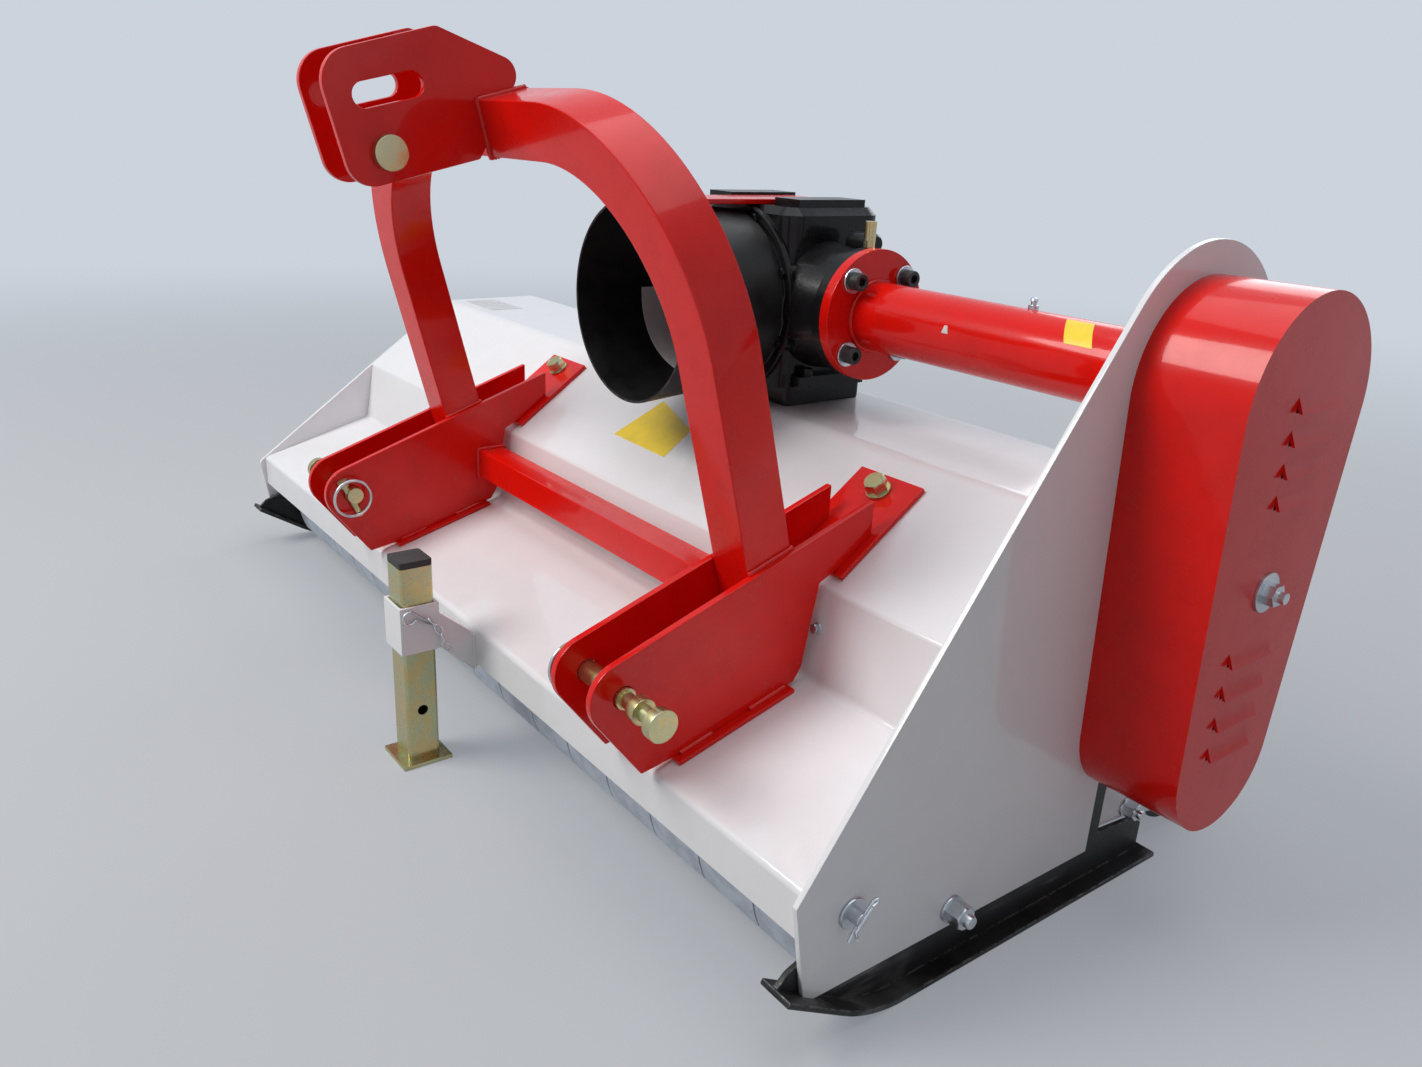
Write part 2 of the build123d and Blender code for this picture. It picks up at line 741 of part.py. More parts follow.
with BuildPart() as stand_cap:
    with BuildSketch(Plane.XY.offset(stand_top_z - cap_height)):
        with Locations((hitch_x + stand_x, pin_y + stand_y)):
            RectangleRounded(stand_tube, stand_tube, stand_corner)
    extrude(amount=cap_height)
stand_cap.part.label = "stand_cap"
export_step(stand_cap.part, "parts/stand_cap.step")

# Skids: a bent sole, and a web with a rear upright against the inside of each side plate
nose_tip = (6.0, 84.0)
skid_toe_y = 66.0
web_front_y = 96.0
web_top_z = 108.0
web_back_z = 50.0
upright_top_z = 152.0
upright_back_y = notch_y + 28
for side, face, name in ((1, right_inner, "skid_right"), (-1, left_inner, "skid_left")):
    sole_start = face + side * side_sheet
    with BuildPart() as skid:
        with BuildSketch(across(sole_start)):
            with BuildLine():
                sole = FilletPolyline(
                    (skid_back_y, 0), (skid_toe_y, 0), nose_tip, radius=[skid_nose_radius]
                )
                offset(sole, amount=skid_sole, side=Side.RIGHT)
            make_face()
        extrude(amount=-side * skid_width)
        with BuildSketch(across(face)):
            with BuildLine():
                Polyline(
                    (web_front_y, skid_sole / 2),
                    (skid_back_y - 8, skid_sole / 2),
                    (skid_back_y - 8, web_back_z - 12),
                    (skid_back_y - 30, web_back_z),
                    (upright_back_y, side_bottom_z + 10),
                    (upright_back_y, upright_top_z),
                    (notch_y - 30, upright_top_z),
                    (notch_y - 60, web_top_z),
                    (web_front_y + 60, web_top_z),
                    (web_front_y, side_bottom_z + 10),
                    close=True,
                )
            make_face()
        extrude(amount=-side * skid_web)
    skid.part.label = name
    export_step(skid.part, f"parts/{name}.step")

# Roller brackets: profiled plates that hang inside the skids' webs
roller_bracket_plate = 8.0
roller_shaft_radius = 12.0
bracket_outline = [
    (490.0, 150.0),
    (468.0, 58.0),
    (520.0, 52.0),
    (roller_y - 24, roller_radius - 30),
    (roller_y + 24, roller_radius - 30),
    (roller_y + 30, roller_radius + 30),
    (600.0, 215.0),
    (520.0, 215.0),
]
for side, face, name in ((1, right_inner, "roller_bracket_right"), (-1, left_inner, "roller_bracket_left")):
    with BuildPart() as roller_bracket:
        with BuildSketch(across(face - side * skid_web)):
            with BuildLine():
                FilletPolyline(*bracket_outline, radius=10, close=True)
            make_face()
            with Locations((roller_y, roller_radius)):
                Circle(roller_shaft_radius + pin_hole_play, mode=Mode.SUBTRACT)
        extrude(amount=-side * roller_bracket_plate)
    roller_bracket.part.label = name
    export_step(roller_bracket.part, f"parts/{name}.step")

# Rear roller on stub shafts
with BuildPart() as roller:
    with BuildSketch(across(left_inner + roller_side_gap)):
        with Locations((roller_y, roller_radius)):
            Circle(roller_radius)
    extrude(amount=hood_width - 2 * roller_side_gap)
    with BuildSketch(across(left_inner + 2)):
        with Locations((roller_y, roller_radius)):
            Circle(roller_shaft_radius)
    extrude(amount=hood_width - 4)
roller.part.label = "roller"
export_step(roller.part, "parts/roller.step")

# Rotor: a tube on a shaft, with a pair of lugs and a bolt for each hammer
rotor_start = left_inner + rotor_side_gap
rotor_length = hood_width - 2 * rotor_side_gap
hammer_margin = 44.0
hammer_pitch = (rotor_length - 2 * hammer_margin) / (hammer_count - 1)
hammer_turn = 108.0         # degrees from one hammer to the next, a spread-out helix
hammer_play = 0.5
lug_outer = rotor_tube_radius + lug_height
lug_width = 36.0
lug_apart = 26.0            # between the middles of two lugs
lug_foot = 10.0             # how deep a lug is let into the tube
hammer_bolt_radius = 8.0
hammer_bolt_at = lug_outer - 14
eye_sides = 8               # small eyes and their bolts have few faces


def hammer_plane(index, shift):
    """A plane across the rotor at one hammer, whose own X axis points out along that hammer."""
    turn = math.radians(index * hammer_turn)
    middle = rotor_start + hammer_margin + index * hammer_pitch
    return Plane(
        origin=(middle + shift, pin_y + rotor_y, rotor_z),
        x_dir=(0, math.cos(turn), math.sin(turn)),
        z_dir=(1, 0, 0),
    )


with BuildPart() as rotor:
    with BuildSketch(across(rotor_start)):
        with Locations((rotor_y, rotor_z)):
            Circle(rotor_tube_radius)
    extrude(amount=rotor_length)
    with BuildSketch(across(left_face - rotor_shaft_end)):
        with Locations((rotor_y, rotor_z)):
            Circle(rotor_shaft_radius)
    extrude(amount=right_face - left_face + 2 * rotor_shaft_end)
    for index in range(hammer_count):
        for lug_side in (-1, 1):
            with BuildSketch(hammer_plane(index, (lug_side * lug_apart - lug_thickness) / 2)):
                with BuildLine():
                    Polyline(
                        (rotor_tube_radius - lug_foot, -lug_width / 2),
                        (hammer_bolt_at, -lug_width / 2),
                        (lug_outer, -lug_width / 4),
                        (lug_outer, lug_width / 4),
                        (hammer_bolt_at, lug_width / 2),
                        (rotor_tube_radius - lug_foot, lug_width / 2),
                        close=True,
                    )
                make_face()
            extrude(amount=lug_thickness)
        with BuildSketch(hammer_plane(index, -lug_apart / 2)):
            with Locations((hammer_bolt_at, 0)):
                RegularPolygon(hammer_bolt_radius, eye_sides)
        extrude(amount=lug_apart)
rotor.part.label = "rotor"
export_step(rotor.part, "parts/rotor.step")

# Hammers: an eye on the bolt, a neck between the lugs, and a wide head with a curved lip
hammer_width = 60.0
hammer_eye = 15.0
hammer_neck = lug_apart - lug_thickness - 2
hammer_neck_half = 11.0
head_start = lug_outer + 8
hammer_head = [
    # distance from the rotor's axis, and across
    (head_start, -hammer_neck_half),
    (head_start + 22, -hammer_neck_half - 3),
    (rotor_tip_radius - 6, -hammer_neck_half - 13),
    (rotor_tip_radius - 3, -hammer_neck_half - 9),
    (rotor_tip_radius - 2, hammer_neck_half - 4),
    (rotor_tip_radius - 14, hammer_neck_half + 2),
    (head_start, hammer_neck_half),
]
with BuildPart() as hammers:
    for index in range(hammer_count):
        with BuildSketch(hammer_plane(index, -hammer_neck / 2)):
            with Locations((hammer_bolt_at, 0)):
                RegularPolygon(hammer_eye, eye_sides)
            with Locations(((hammer_bolt_at + head_start + 4) / 2, 0)):
                Rectangle(head_start + 4 - hammer_bolt_at, 2 * hammer_neck_half)
            with Locations((hammer_bolt_at, 0)):
                RegularPolygon(
                    hammer_bolt_radius + hammer_play, eye_sides, mode=Mode.SUBTRACT
                )
        extrude(amount=hammer_neck)
        with BuildSketch(hammer_plane(index, -hammer_width / 2)):
            with BuildLine():
                Polyline(*hammer_head, close=True)
            make_face()
        extrude(amount=hammer_width)
hammers.part.label = "hammers"
export_step(hammers.part, "parts/hammers.step")

# Rotor bearings: a housing outside the left plate, a ring inside the right plate
bearing_square = 116.0
bearing_flange = 12.0
bearing_boss = 44.0
bearing_reach = 34.0
with BuildPart() as rotor_bearing_left:
    with BuildSketch(across(left_face)):
        with Locations((rotor_y, rotor_z)):
            RectangleRounded(bearing_square, bearing_square, 18)
            Circle(rotor_shaft_radius + pin_hole_play, mode=Mode.SUBTRACT)
    extrude(amount=-bearing_flange)
    with BuildSketch(across(left_face - bearing_flange)):
        with Locations((rotor_y, rotor_z)):
            Circle(bearing_boss)
    extrude(amount=-(bearing_reach - bearing_flange))
    with BuildSketch(across(left_face)):
        with Locations((rotor_y, rotor_z)):
            Circle(rotor_shaft_radius + pin_hole_play)
    extrude(amount=-rotor_shaft_end - 2, mode=Mode.SUBTRACT)
rotor_bearing_left.part.label = "rotor_bearing_left"
export_step(rotor_bearing_left.part, "parts/rotor_bearing_left.step")

with BuildPart() as rotor_bearing_right:
    with BuildSketch(across(right_inner)):
        with Locations((rotor_y, rotor_z)):
            Circle(bearing_boss)
            Circle(rotor_shaft_radius + pin_hole_play, mode=Mode.SUBTRACT)
    extrude(amount=-10)
rotor_bearing_right.part.label = "rotor_bearing_right"
export_step(rotor_bearing_right.part, "parts/rotor_bearing_right.step")

# Flap rod across the front, through both side plates
rod_end = 14.0
with BuildPart() as flap_rod:
    with BuildSketch(across(left_face - rod_end)):
        with Locations((flap_rod_y, flap_rod_z)):
            Circle(flap_rod_radius)
    extrude(amount=right_face - left_face + 2 * rod_end)
flap_rod.part.label = "flap_rod"
export_step(flap_rod.part, "parts/flap_rod.step")

# Front flaps: a row of plates with rolled eyes, free to swing on the rod
flap_pitch = (hood_width - 2 * flap_side_gap) / flap_count
flap_middle_y = flap_rod_y - flap_eye_radius + flap_thickness / 2
eye_turn = 180 / eye_sides  # puts one flat of an eye in line with its plate
with BuildPart() as front_flaps:
    for index in range(flap_count):
        flap_start = left_inner + flap_side_gap + index * flap_pitch + flap_gap / 2
        with BuildSketch(across(flap_start)):
            with Locations((flap_rod_y, flap_rod_z)):
                RegularPolygon(flap_eye_radius, eye_sides, major_radius=False, rotation=eye_turn)
            with Locations((flap_middle_y, flap_rod_z - flap_length / 2)):
                Rectangle(flap_thickness, flap_length)
            with Locations((flap_rod_y, flap_rod_z)):
                RegularPolygon(
                    flap_rod_radius + flap_play,
                    eye_sides,
                    major_radius=False,
                    rotation=eye_turn,
                    mode=Mode.SUBTRACT,
                )
        extrude(amount=flap_pitch - flap_gap)
front_flaps.part.label = "front_flaps"
export_step(front_flaps.part, "parts/front_flaps.step")
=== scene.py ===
"""Tractor mulcher: its coats, castings and plating, with fasteners, welds, clips and blank labels.

Metres, +Z up. +X is the side of the belt drive, -Y the side of the tractor.
"""
import json
import math

import bmesh
import bpy
from mathutils import Matrix, Vector

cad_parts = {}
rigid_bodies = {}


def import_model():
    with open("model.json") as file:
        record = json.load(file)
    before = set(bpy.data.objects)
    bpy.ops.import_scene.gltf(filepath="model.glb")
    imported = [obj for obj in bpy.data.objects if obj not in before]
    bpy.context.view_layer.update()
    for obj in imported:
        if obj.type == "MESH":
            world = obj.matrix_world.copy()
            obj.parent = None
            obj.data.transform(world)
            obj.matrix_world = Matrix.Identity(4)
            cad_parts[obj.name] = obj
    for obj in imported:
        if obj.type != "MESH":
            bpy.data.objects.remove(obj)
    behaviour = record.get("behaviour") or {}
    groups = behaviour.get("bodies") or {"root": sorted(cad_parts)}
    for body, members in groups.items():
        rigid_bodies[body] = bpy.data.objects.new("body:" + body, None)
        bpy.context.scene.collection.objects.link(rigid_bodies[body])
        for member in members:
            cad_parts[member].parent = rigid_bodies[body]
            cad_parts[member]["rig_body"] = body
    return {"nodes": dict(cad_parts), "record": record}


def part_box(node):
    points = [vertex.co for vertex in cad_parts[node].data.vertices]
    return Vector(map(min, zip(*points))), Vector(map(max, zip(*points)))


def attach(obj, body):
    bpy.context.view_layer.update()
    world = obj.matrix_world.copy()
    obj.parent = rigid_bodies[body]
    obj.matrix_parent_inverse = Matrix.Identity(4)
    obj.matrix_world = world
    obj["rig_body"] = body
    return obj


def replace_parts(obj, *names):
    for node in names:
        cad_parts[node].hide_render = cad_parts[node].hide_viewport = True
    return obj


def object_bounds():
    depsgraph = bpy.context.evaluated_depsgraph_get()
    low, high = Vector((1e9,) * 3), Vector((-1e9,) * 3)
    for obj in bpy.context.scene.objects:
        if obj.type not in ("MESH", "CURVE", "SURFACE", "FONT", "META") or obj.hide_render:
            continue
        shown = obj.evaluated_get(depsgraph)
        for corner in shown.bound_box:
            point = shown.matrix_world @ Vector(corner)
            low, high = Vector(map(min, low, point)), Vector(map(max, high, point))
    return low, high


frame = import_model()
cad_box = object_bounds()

MM = 0.001

# Places that everything else is set from
cross_low, cross_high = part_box("cross_tube")
pin_low, pin_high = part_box("lower_pin_right")
cover_face_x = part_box("belt_cover")[1].x
hitch_x = (cross_low.x + cross_high.x) / 2
pin_y = (pin_low.y + pin_high.y) / 2


def place(x, y, z):
    """A point given in millimetres across from the hitch, behind the lower pins and above the floor."""
    return Vector((hitch_x + x * MM, pin_y + y * MM, z * MM))


# Millimetres in the same directions: the belt drive's upper and lower axes, and the side plates' faces
tube_y = 470.0
tube_z = 541.0
rotor_y = 466.0
rotor_z = 204.0
right_face = 597.0
left_face = -853.0
side_sheet = 6.0


# Materials: shared effects

def socket_of(node, name):
    return next(s for s in node.inputs if s.name == name and s.enabled)


class Tree:
    """Short calls for adding and joining the nodes of one tree."""

    def __init__(self, tree):
        self.tree = tree

    def add(self, kind, **values):
        node = self.tree.nodes.new(kind)
        for name, value in values.items():
            setattr(node, name, value)
        return node

    def link(self, output, socket):
        self.tree.links.new(output, socket)

    def feed(self, value, socket):
        """Sets a socket to a plain value, or joins an output to it."""
        if isinstance(value, (int, float, tuple)):
            socket.default_value = value
        else:
            self.link(value, socket)

    def fill(self, node, **values):
        """Feeds sockets by name, with underscores for the spaces in it."""
        for name, value in values.items():
            self.feed(value, node.inputs[name.replace("_", " ")])

    def join(self, output, node, name):
        self.link(output, socket_of(node, name))

    def math(self, operation, first, second=None, third=None):
        node = self.add("ShaderNodeMath", operation=operation)
        for socket, value in zip(node.inputs, (first, second, third)):
            if value is not None:
                self.feed(value, socket)
        return node.outputs[0]

    def noise(self, scale, detail=2.0, roughness=0.5, distortion=0.0, stretch=None):
        where = self.add("ShaderNodeTexCoord").outputs["Object"]
        if stretch:
            mapping = self.add("ShaderNodeMapping")
            self.fill(mapping, Scale=stretch, Vector=where)
            where = mapping.outputs["Vector"]
        node = self.add("ShaderNodeTexNoise")
        self.fill(node, Vector=where, Scale=scale, Detail=detail, Roughness=roughness, Distortion=distortion)
        return node.outputs[0]

    def span(self, value, low, high, to_low=0.0, to_high=1.0):
        node = self.add("ShaderNodeMapRange", interpolation_type="SMOOTHSTEP")
        self.fill(node, Value=value, From_Min=low, From_Max=high, To_Min=to_low, To_Max=to_high)
        return node.outputs["Result"]

    def blend(self, factor, first, second):
        node = self.add("ShaderNodeMix", data_type="RGBA")
        self.link(factor, node.inputs["Factor"])
        for index, colour in ((6, first), (7, second)):
            self.feed((*colour, 1) if isinstance(colour, tuple) else colour, node.inputs[index])
        return node.outputs[2]

    def tone(self, patch, low, high, first, second):
        """Drifts from one colour to another as the patches pass from low to high."""
        return self.blend(self.span(patch, low, high), first, second)

    def bump(self, height, strength, distance, normal=None):
        node = self.add("ShaderNodeBump")
        self.fill(node, Distance=distance, Strength=strength, Height=height)
        if normal is not None:
            self.link(normal, node.inputs["Normal"])
        return node.outputs["Normal"]


def effect(name, inputs, outputs, build):
    """A shader node group: inputs and outputs are (name, kind, default) rows, and build wires it."""
    group = bpy.data.node_groups.new(name, "ShaderNodeTree")
    for label, kind, value in inputs:
        made = group.interface.new_socket(label, in_out="INPUT", socket_type=kind)
        if value is not None:
            made.default_value = value
    for label, kind in outputs:
        group.interface.new_socket(label, in_out="OUTPUT", socket_type=kind)
    tree = Tree(group)
    given = group.nodes.new("NodeGroupInput").outputs
    results = build(tree, given)
    end = group.nodes.new("NodeGroupOutput")
    for label, value in results.items():
        tree.link(value, end.inputs[label])
    return group


NUMBER = "NodeSocketFloat"
VECTOR = "NodeSocketVector"


def build_sprayed(tree, given):
    fine = tree.noise(given["Grain"], detail=1.0)
    broad = tree.noise(9.0, detail=2.0)
    wavy = tree.bump(broad, given["Sag"], 0.004)
    normal = tree.bump(fine, given["Peel"], 0.0006, wavy)
    patch = tree.noise(23.0, detail=4.0, roughness=0.65)
    return {"Normal": normal, "Patch": patch}


sprayed = effect(
    "sprayed coat",
    [("Grain", NUMBER, 420.0), ("Peel", NUMBER, 0.12), ("Sag", NUMBER, 0.10)],
    [("Normal", VECTOR), ("Patch", NUMBER)],
    build_sprayed,
)


def build_dust(tree, given):
    geometry = tree.add("ShaderNodeNewGeometry")
    split = tree.add("ShaderNodeSeparateXYZ")
    tree.link(geometry.outputs["Normal"], split.inputs[0])
    facing = tree.span(split.outputs["Z"], -0.2, 1.0)
    cloud = tree.span(tree.noise(14.0, detail=6.0, roughness=0.7), 0.40, 0.72)
    speck = tree.span(tree.noise(260.0, detail=2.0, roughness=0.6), 0.56, 0.70)
    mix = tree.math("ADD", tree.math("MULTIPLY", cloud, 0.6), tree.math("MULTIPLY", speck, 0.4))
    height = tree.add("ShaderNodeTexCoord")
    low = tree.add("ShaderNodeSeparateXYZ")
    tree.link(height.outputs["Object"], low.inputs[0])
    near_ground = tree.span(low.outputs["Z"], 0.02, 0.30, 1.0, 0.25)
    mask = tree.math("MULTIPLY", tree.math("MULTIPLY", mix, tree.math("ADD", facing, 0.35)), near_ground)
    return {"Mask": tree.math("MULTIPLY", mask, given["Amount"])}


settled_dust = effect("settled dust", [("Amount", NUMBER, 0.3)], [("Mask", NUMBER)], build_dust)


def build_wear(tree, given):
    bevel = tree.add("ShaderNodeBevel", samples=4)
    tree.link(given["Reach"], bevel.inputs["Radius"])
    geometry = tree.add("ShaderNodeNewGeometry")
    dot = tree.add("ShaderNodeVectorMath", operation="DOT_PRODUCT")
    tree.link(bevel.outputs["Normal"], dot.inputs[0])
    tree.link(geometry.outputs["Normal"], dot.inputs[1])
    edge = tree.span(dot.outputs["Value"], 0.99, 0.86)
    torn = tree.span(tree.noise(75.0, detail=5.0, roughness=0.7), 0.42, 0.60)
    return {"Mask": tree.math("MULTIPLY", tree.math("MULTIPLY", edge, torn), given["Amount"])}


edge_wear = effect(
    "edge wear",
    [("Reach", NUMBER, 0.003), ("Amount", NUMBER, 0.6)],
    [("Mask", NUMBER)],
    build_wear,
)


def build_scrape(tree, given):
    streak = tree.noise(30.0, detail=5.0, roughness=0.7, distortion=0.4, stretch=(1.0, 0.12, 1.0))
    patch = tree.noise(7.0, detail=3.0)
    mask = tree.math("MULTIPLY", tree.span(streak, 0.46, 0.62), tree.span(patch, 0.40, 0.62))
    return {"Mask": tree.math("MULTIPLY", mask, given["Amount"])}


scraped = effect("scraped", [("Amount", NUMBER, 0.6)], [("Mask", NUMBER)], build_scrape)


def build_cast(tree, given):
    grain = tree.noise(given["Grain"], detail=3.0, roughness=0.6)
    lumps = tree.noise(55.0, detail=2.0)
    normal = tree.bump(grain, given["Depth"], 0.0010, tree.bump(lumps, 0.25, 0.0020))
    return {"Normal": normal, "Patch": tree.noise(18.0, detail=4.0, roughness=0.6)}


cast_skin = effect(
    "cast skin",
    [("Grain", NUMBER, 260.0), ("Depth", NUMBER, 0.30)],
    [("Normal", VECTOR), ("Patch", NUMBER)],
    build_cast,
)


def build_drawn(tree, given):
    grain = tree.noise(given["Grain"], detail=3.0, roughness=0.7, stretch=(0.06, 1.0, 1.0))
    cloud = tree.noise(38.0, detail=3.0, roughness=0.6)
    return {"Normal": tree.bump(grain, given["Depth"], 0.0005), "Cloud": cloud}


drawn_steel = effect(
    "drawn steel",
    [("Grain", NUMBER, 320.0), ("Depth", NUMBER, 0.15)],
    [("Normal", VECTOR), ("Cloud", NUMBER)],
    build_drawn,
)


# Materials: one short function each

def start_material(name):
    material = bpy.data.materials.new(name)
    material.use_nodes = True
    material.node_tree.nodes.clear()
    tree = Tree(material.node_tree)
    end = tree.add("ShaderNodeOutputMaterial")
    shader = tree.add("ShaderNodeBsdfPrincipled")
    tree.link(shader.outputs[0], end.inputs["Surface"])
    return material, tree, shader


def use(tree, group, **values):
    node = tree.add("ShaderNodeGroup", node_tree=group)
    for name, value in values.items():
        node.inputs[name].default_value = value
    return node


def dusted(tree, amount, clean, dust_colour):
    return tree.blend(use(tree, settled_dust, Amount=amount).outputs["Mask"], clean, dust_colour)


def lay_skin(tree, shader, skin, smoothest, roughest, patches="Patch"):
    """The skin's normal, and a roughness that drifts with its patches."""
    tree.join(tree.span(skin.outputs[patches], 0.3, 0.7, smoothest, roughest), shader, "Roughness")
    tree.join(skin.outputs["Normal"], shader, "Normal")


def enamel(name, colour, shade, roughness=0.34, coat=0.8, dust=0.22, dust_colour=(0.36, 0.31, 0.25)):
    """Sprayed gloss enamel with a faint peel, slight shade patches and dust settled on it."""
    material, tree, shader = start_material(name)
    film = use(tree, sprayed, Peel=0.10)
    dusty = use(tree, settled_dust, Amount=dust)
    toned = tree.tone(film.outputs["Patch"], 0.35, 0.65, colour, shade)
    tree.join(tree.blend(dusty.outputs["Mask"], toned, dust_colour), shader, "Base Color")
    rough = tree.span(film.outputs["Patch"], 0.3, 0.7, roughness - 0.05, roughness + 0.06)
    tree.join(tree.math("ADD", rough, tree.math("MULTIPLY", dusty.outputs["Mask"], 0.5)), shader, "Roughness")
    tree.join(film.outputs["Normal"], shader, "Normal")
    tree.join(tree.math("SUBTRACT", coat, dusty.outputs["Mask"]), shader, "Coat Weight")
    tree.fill(shader, Coat_Roughness=0.06, Specular_IOR_Level=0.15)
    return material


def black_casting_finish():
    """Gloss black over a cast skin."""
    material, tree, shader = start_material("black over casting")
    skin = use(tree, cast_skin, Depth=0.28)
    toned = tree.tone(skin.outputs["Patch"], 0.35, 0.65, (0.006, 0.006, 0.007), (0.010, 0.010, 0.011))
    tree.join(dusted(tree, 0.07, toned, (0.20, 0.18, 0.15)), shader, "Base Color")
    lay_skin(tree, shader, skin, 0.24, 0.40)
    tree.fill(shader, Coat_Weight=0.25, Coat_Roughness=0.10, Specular_IOR_Level=0.12)
    return material


def black_steel_finish(name="black coat on steel", wear=0.35, scrape=0.0):
    """Satin black with rubbed edges, and scraped streaks where it meets the ground."""
    material, tree, shader = start_material(name)
    film = use(tree, sprayed, Peel=0.16, Grain=300.0)
    rubbed = use(tree, edge_wear, Amount=wear)
    streaks = use(tree, scraped, Amount=scrape)
    bare = tree.math("MAXIMUM", rubbed.outputs["Mask"], streaks.outputs["Mask"])
    toned = tree.tone(film.outputs["Patch"], 0.3, 0.7, (0.007, 0.007, 0.008), (0.013, 0.013, 0.013))
    soiled = dusted(tree, 0.12, toned, (0.17, 0.14, 0.11))
    tree.join(tree.blend(bare, soiled, (0.32, 0.31, 0.30)), shader, "Base Color")
    tree.join(tree.math("MULTIPLY", bare, 0.85), shader, "Metallic")
    lay_skin(tree, shader, film, 0.34, 0.50)
    tree.fill(shader, Specular_IOR_Level=0.30)
    return material


def plated(name, colour, tint, roughness=0.30, dust=0.15, metal=1.0):
    """Metal plating whose colour drifts between two tones."""
    material, tree, shader = start_material(name)
    grain = use(tree, drawn_steel, Depth=0.10)
    drift = tree.tone(grain.outputs["Cloud"], 0.38, 0.62, colour, tint)
    tree.join(dusted(tree, dust, drift, (0.30, 0.26, 0.21)), shader, "Base Color")
    lay_skin(tree, shader, grain, roughness - 0.06, roughness + 0.10, "Cloud")
    tree.fill(shader, Metallic=metal)
    return material


def forged_finish():
    """Dark forged steel, bright where the hammers cut."""
    material, tree, shader = start_material("forged steel")
    skin = use(tree, cast_skin, Grain=180.0, Depth=0.45)
    rubbed = use(tree, edge_wear, Amount=0.9, Reach=0.004)
    toned = tree.tone(skin.outputs["Patch"], 0.35, 0.65, (0.075, 0.072, 0.070), (0.14, 0.12, 0.105))
    tree.join(tree.blend(rubbed.outputs["Mask"], toned, (0.48, 0.47, 0.46)), shader, "Base Color")
    lay_skin(tree, shader, skin, 0.38, 0.62)
    tree.fill(shader, Metallic=0.85)
    return material


def moulded_finish(name, colour, roughness=0.5):
    """Moulded plastic or printed film with a faint grain."""
    material, tree, shader = start_material(name)
    film = use(tree, sprayed, Peel=0.22, Grain=700.0, Sag=0.04)
    paler = tuple(min(1.0, c * 1.12 + 0.004) for c in colour)
    toned = tree.tone(film.outputs["Patch"], 0.35, 0.65, colour, paler)
    tree.join(dusted(tree, 0.25, toned, (0.30, 0.27, 0.23)), shader, "Base Color")
    lay_skin(tree, shader, film, roughness - 0.06, roughness + 0.08)
    return material


finishes = {
    "white_paint": enamel("white enamel", (0.80, 0.80, 0.82), (0.785, 0.785, 0.805), dust=0.06),
    "red_paint": enamel(
        "red enamel", (0.74, 0.006, 0.002), (0.68, 0.005, 0.002), roughness=0.24, dust=0.02,
        dust_colour=(0.42, 0.16, 0.12), coat=0.38,
    ),
    "black_paint": black_steel_finish(),
    "black_casting": black_casting_finish(),
    "zinc_steel": plated("bright zinc", (0.62, 0.64, 0.66), (0.50, 0.52, 0.55), roughness=0.28),
    "grey_steel": plated(
        "dull zinc", (0.56, 0.61, 0.69), (0.46, 0.51, 0.59), roughness=0.44, dust=0.16, metal=0.25
    ),
    "forged_steel": forged_finish(),
    "yellow_zinc": plated("yellow zinc", (0.56, 0.45, 0.21), (0.47, 0.49, 0.30), roughness=0.25, metal=0.95),
    "black_plastic": moulded_finish("black plastic", (0.012, 0.012, 0.013)),
}
skid_finish = black_steel_finish("black coat on runners", wear=0.8, scrape=0.7)
yellow_film = moulded_finish("yellow film", (0.85, 0.62, 0.02), roughness=0.32)
grey_film = moulded_finish("grey film", (0.52, 0.53, 0.54), roughness=0.30)
# Pale bare steel: a real chip on the tube, and painted light on the shield's inner wall
bare_and_lit_film = moulded_finish("bare steel and painted light", (0.66, 0.67, 0.68), roughness=0.35)


# Making pieces

def put_in_scene(name, data):
    thing = bpy.data.objects.new(name, data)
    bpy.context.scene.collection.objects.link(thing)
    return thing


def evaluated_mesh(thing):
    bpy.context.view_layer.update()
    return bpy.data.meshes.new_from_object(thing.evaluated_get(bpy.context.evaluated_depsgraph_get()))


def settle(piece):
    """Applies what is live on a piece, so that only its plain mesh is left."""
    mesh = evaluated_mesh(piece)
    piece.modifiers.clear()
    piece.data = mesh
    return piece


def new_piece(name, mesh, slot, body="frame", finish=None):
    piece = put_in_scene(name, mesh)
    mesh.materials.clear()
    mesh.materials.append(finish or finishes[slot])
    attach(piece, body)
    return piece


def mesh_from(bm, name):
    mesh = bpy.data.meshes.new(name)
    bm.to_mesh(mesh)
    bm.free()
    return mesh


def closed_piece(name, slot, bm, finish=None, rounded=True):
    """A piece on the frame from closed skins, with its normals outwards."""
    bmesh.ops.recalc_face_normals(bm, faces=bm.faces)
    mesh = mesh_from(bm, name)
    if rounded:
        smooth(mesh)
    return new_piece(name, mesh, slot, "frame", finish)


def smooth(mesh, angle=34.0):
    mesh.shade_smooth()
    mesh.set_sharp_from_angle(angle=math.radians(angle))


def even_normals(piece, angle=38.0):
    """Lets the large faces set the shading, so that flats stay flat beside a rounded arris."""
    smooth(piece.data, angle)
    weighted = piece.modifiers.new("normals", "WEIGHTED_NORMAL")
    weighted.keep_sharp = True
    return settle(piece)


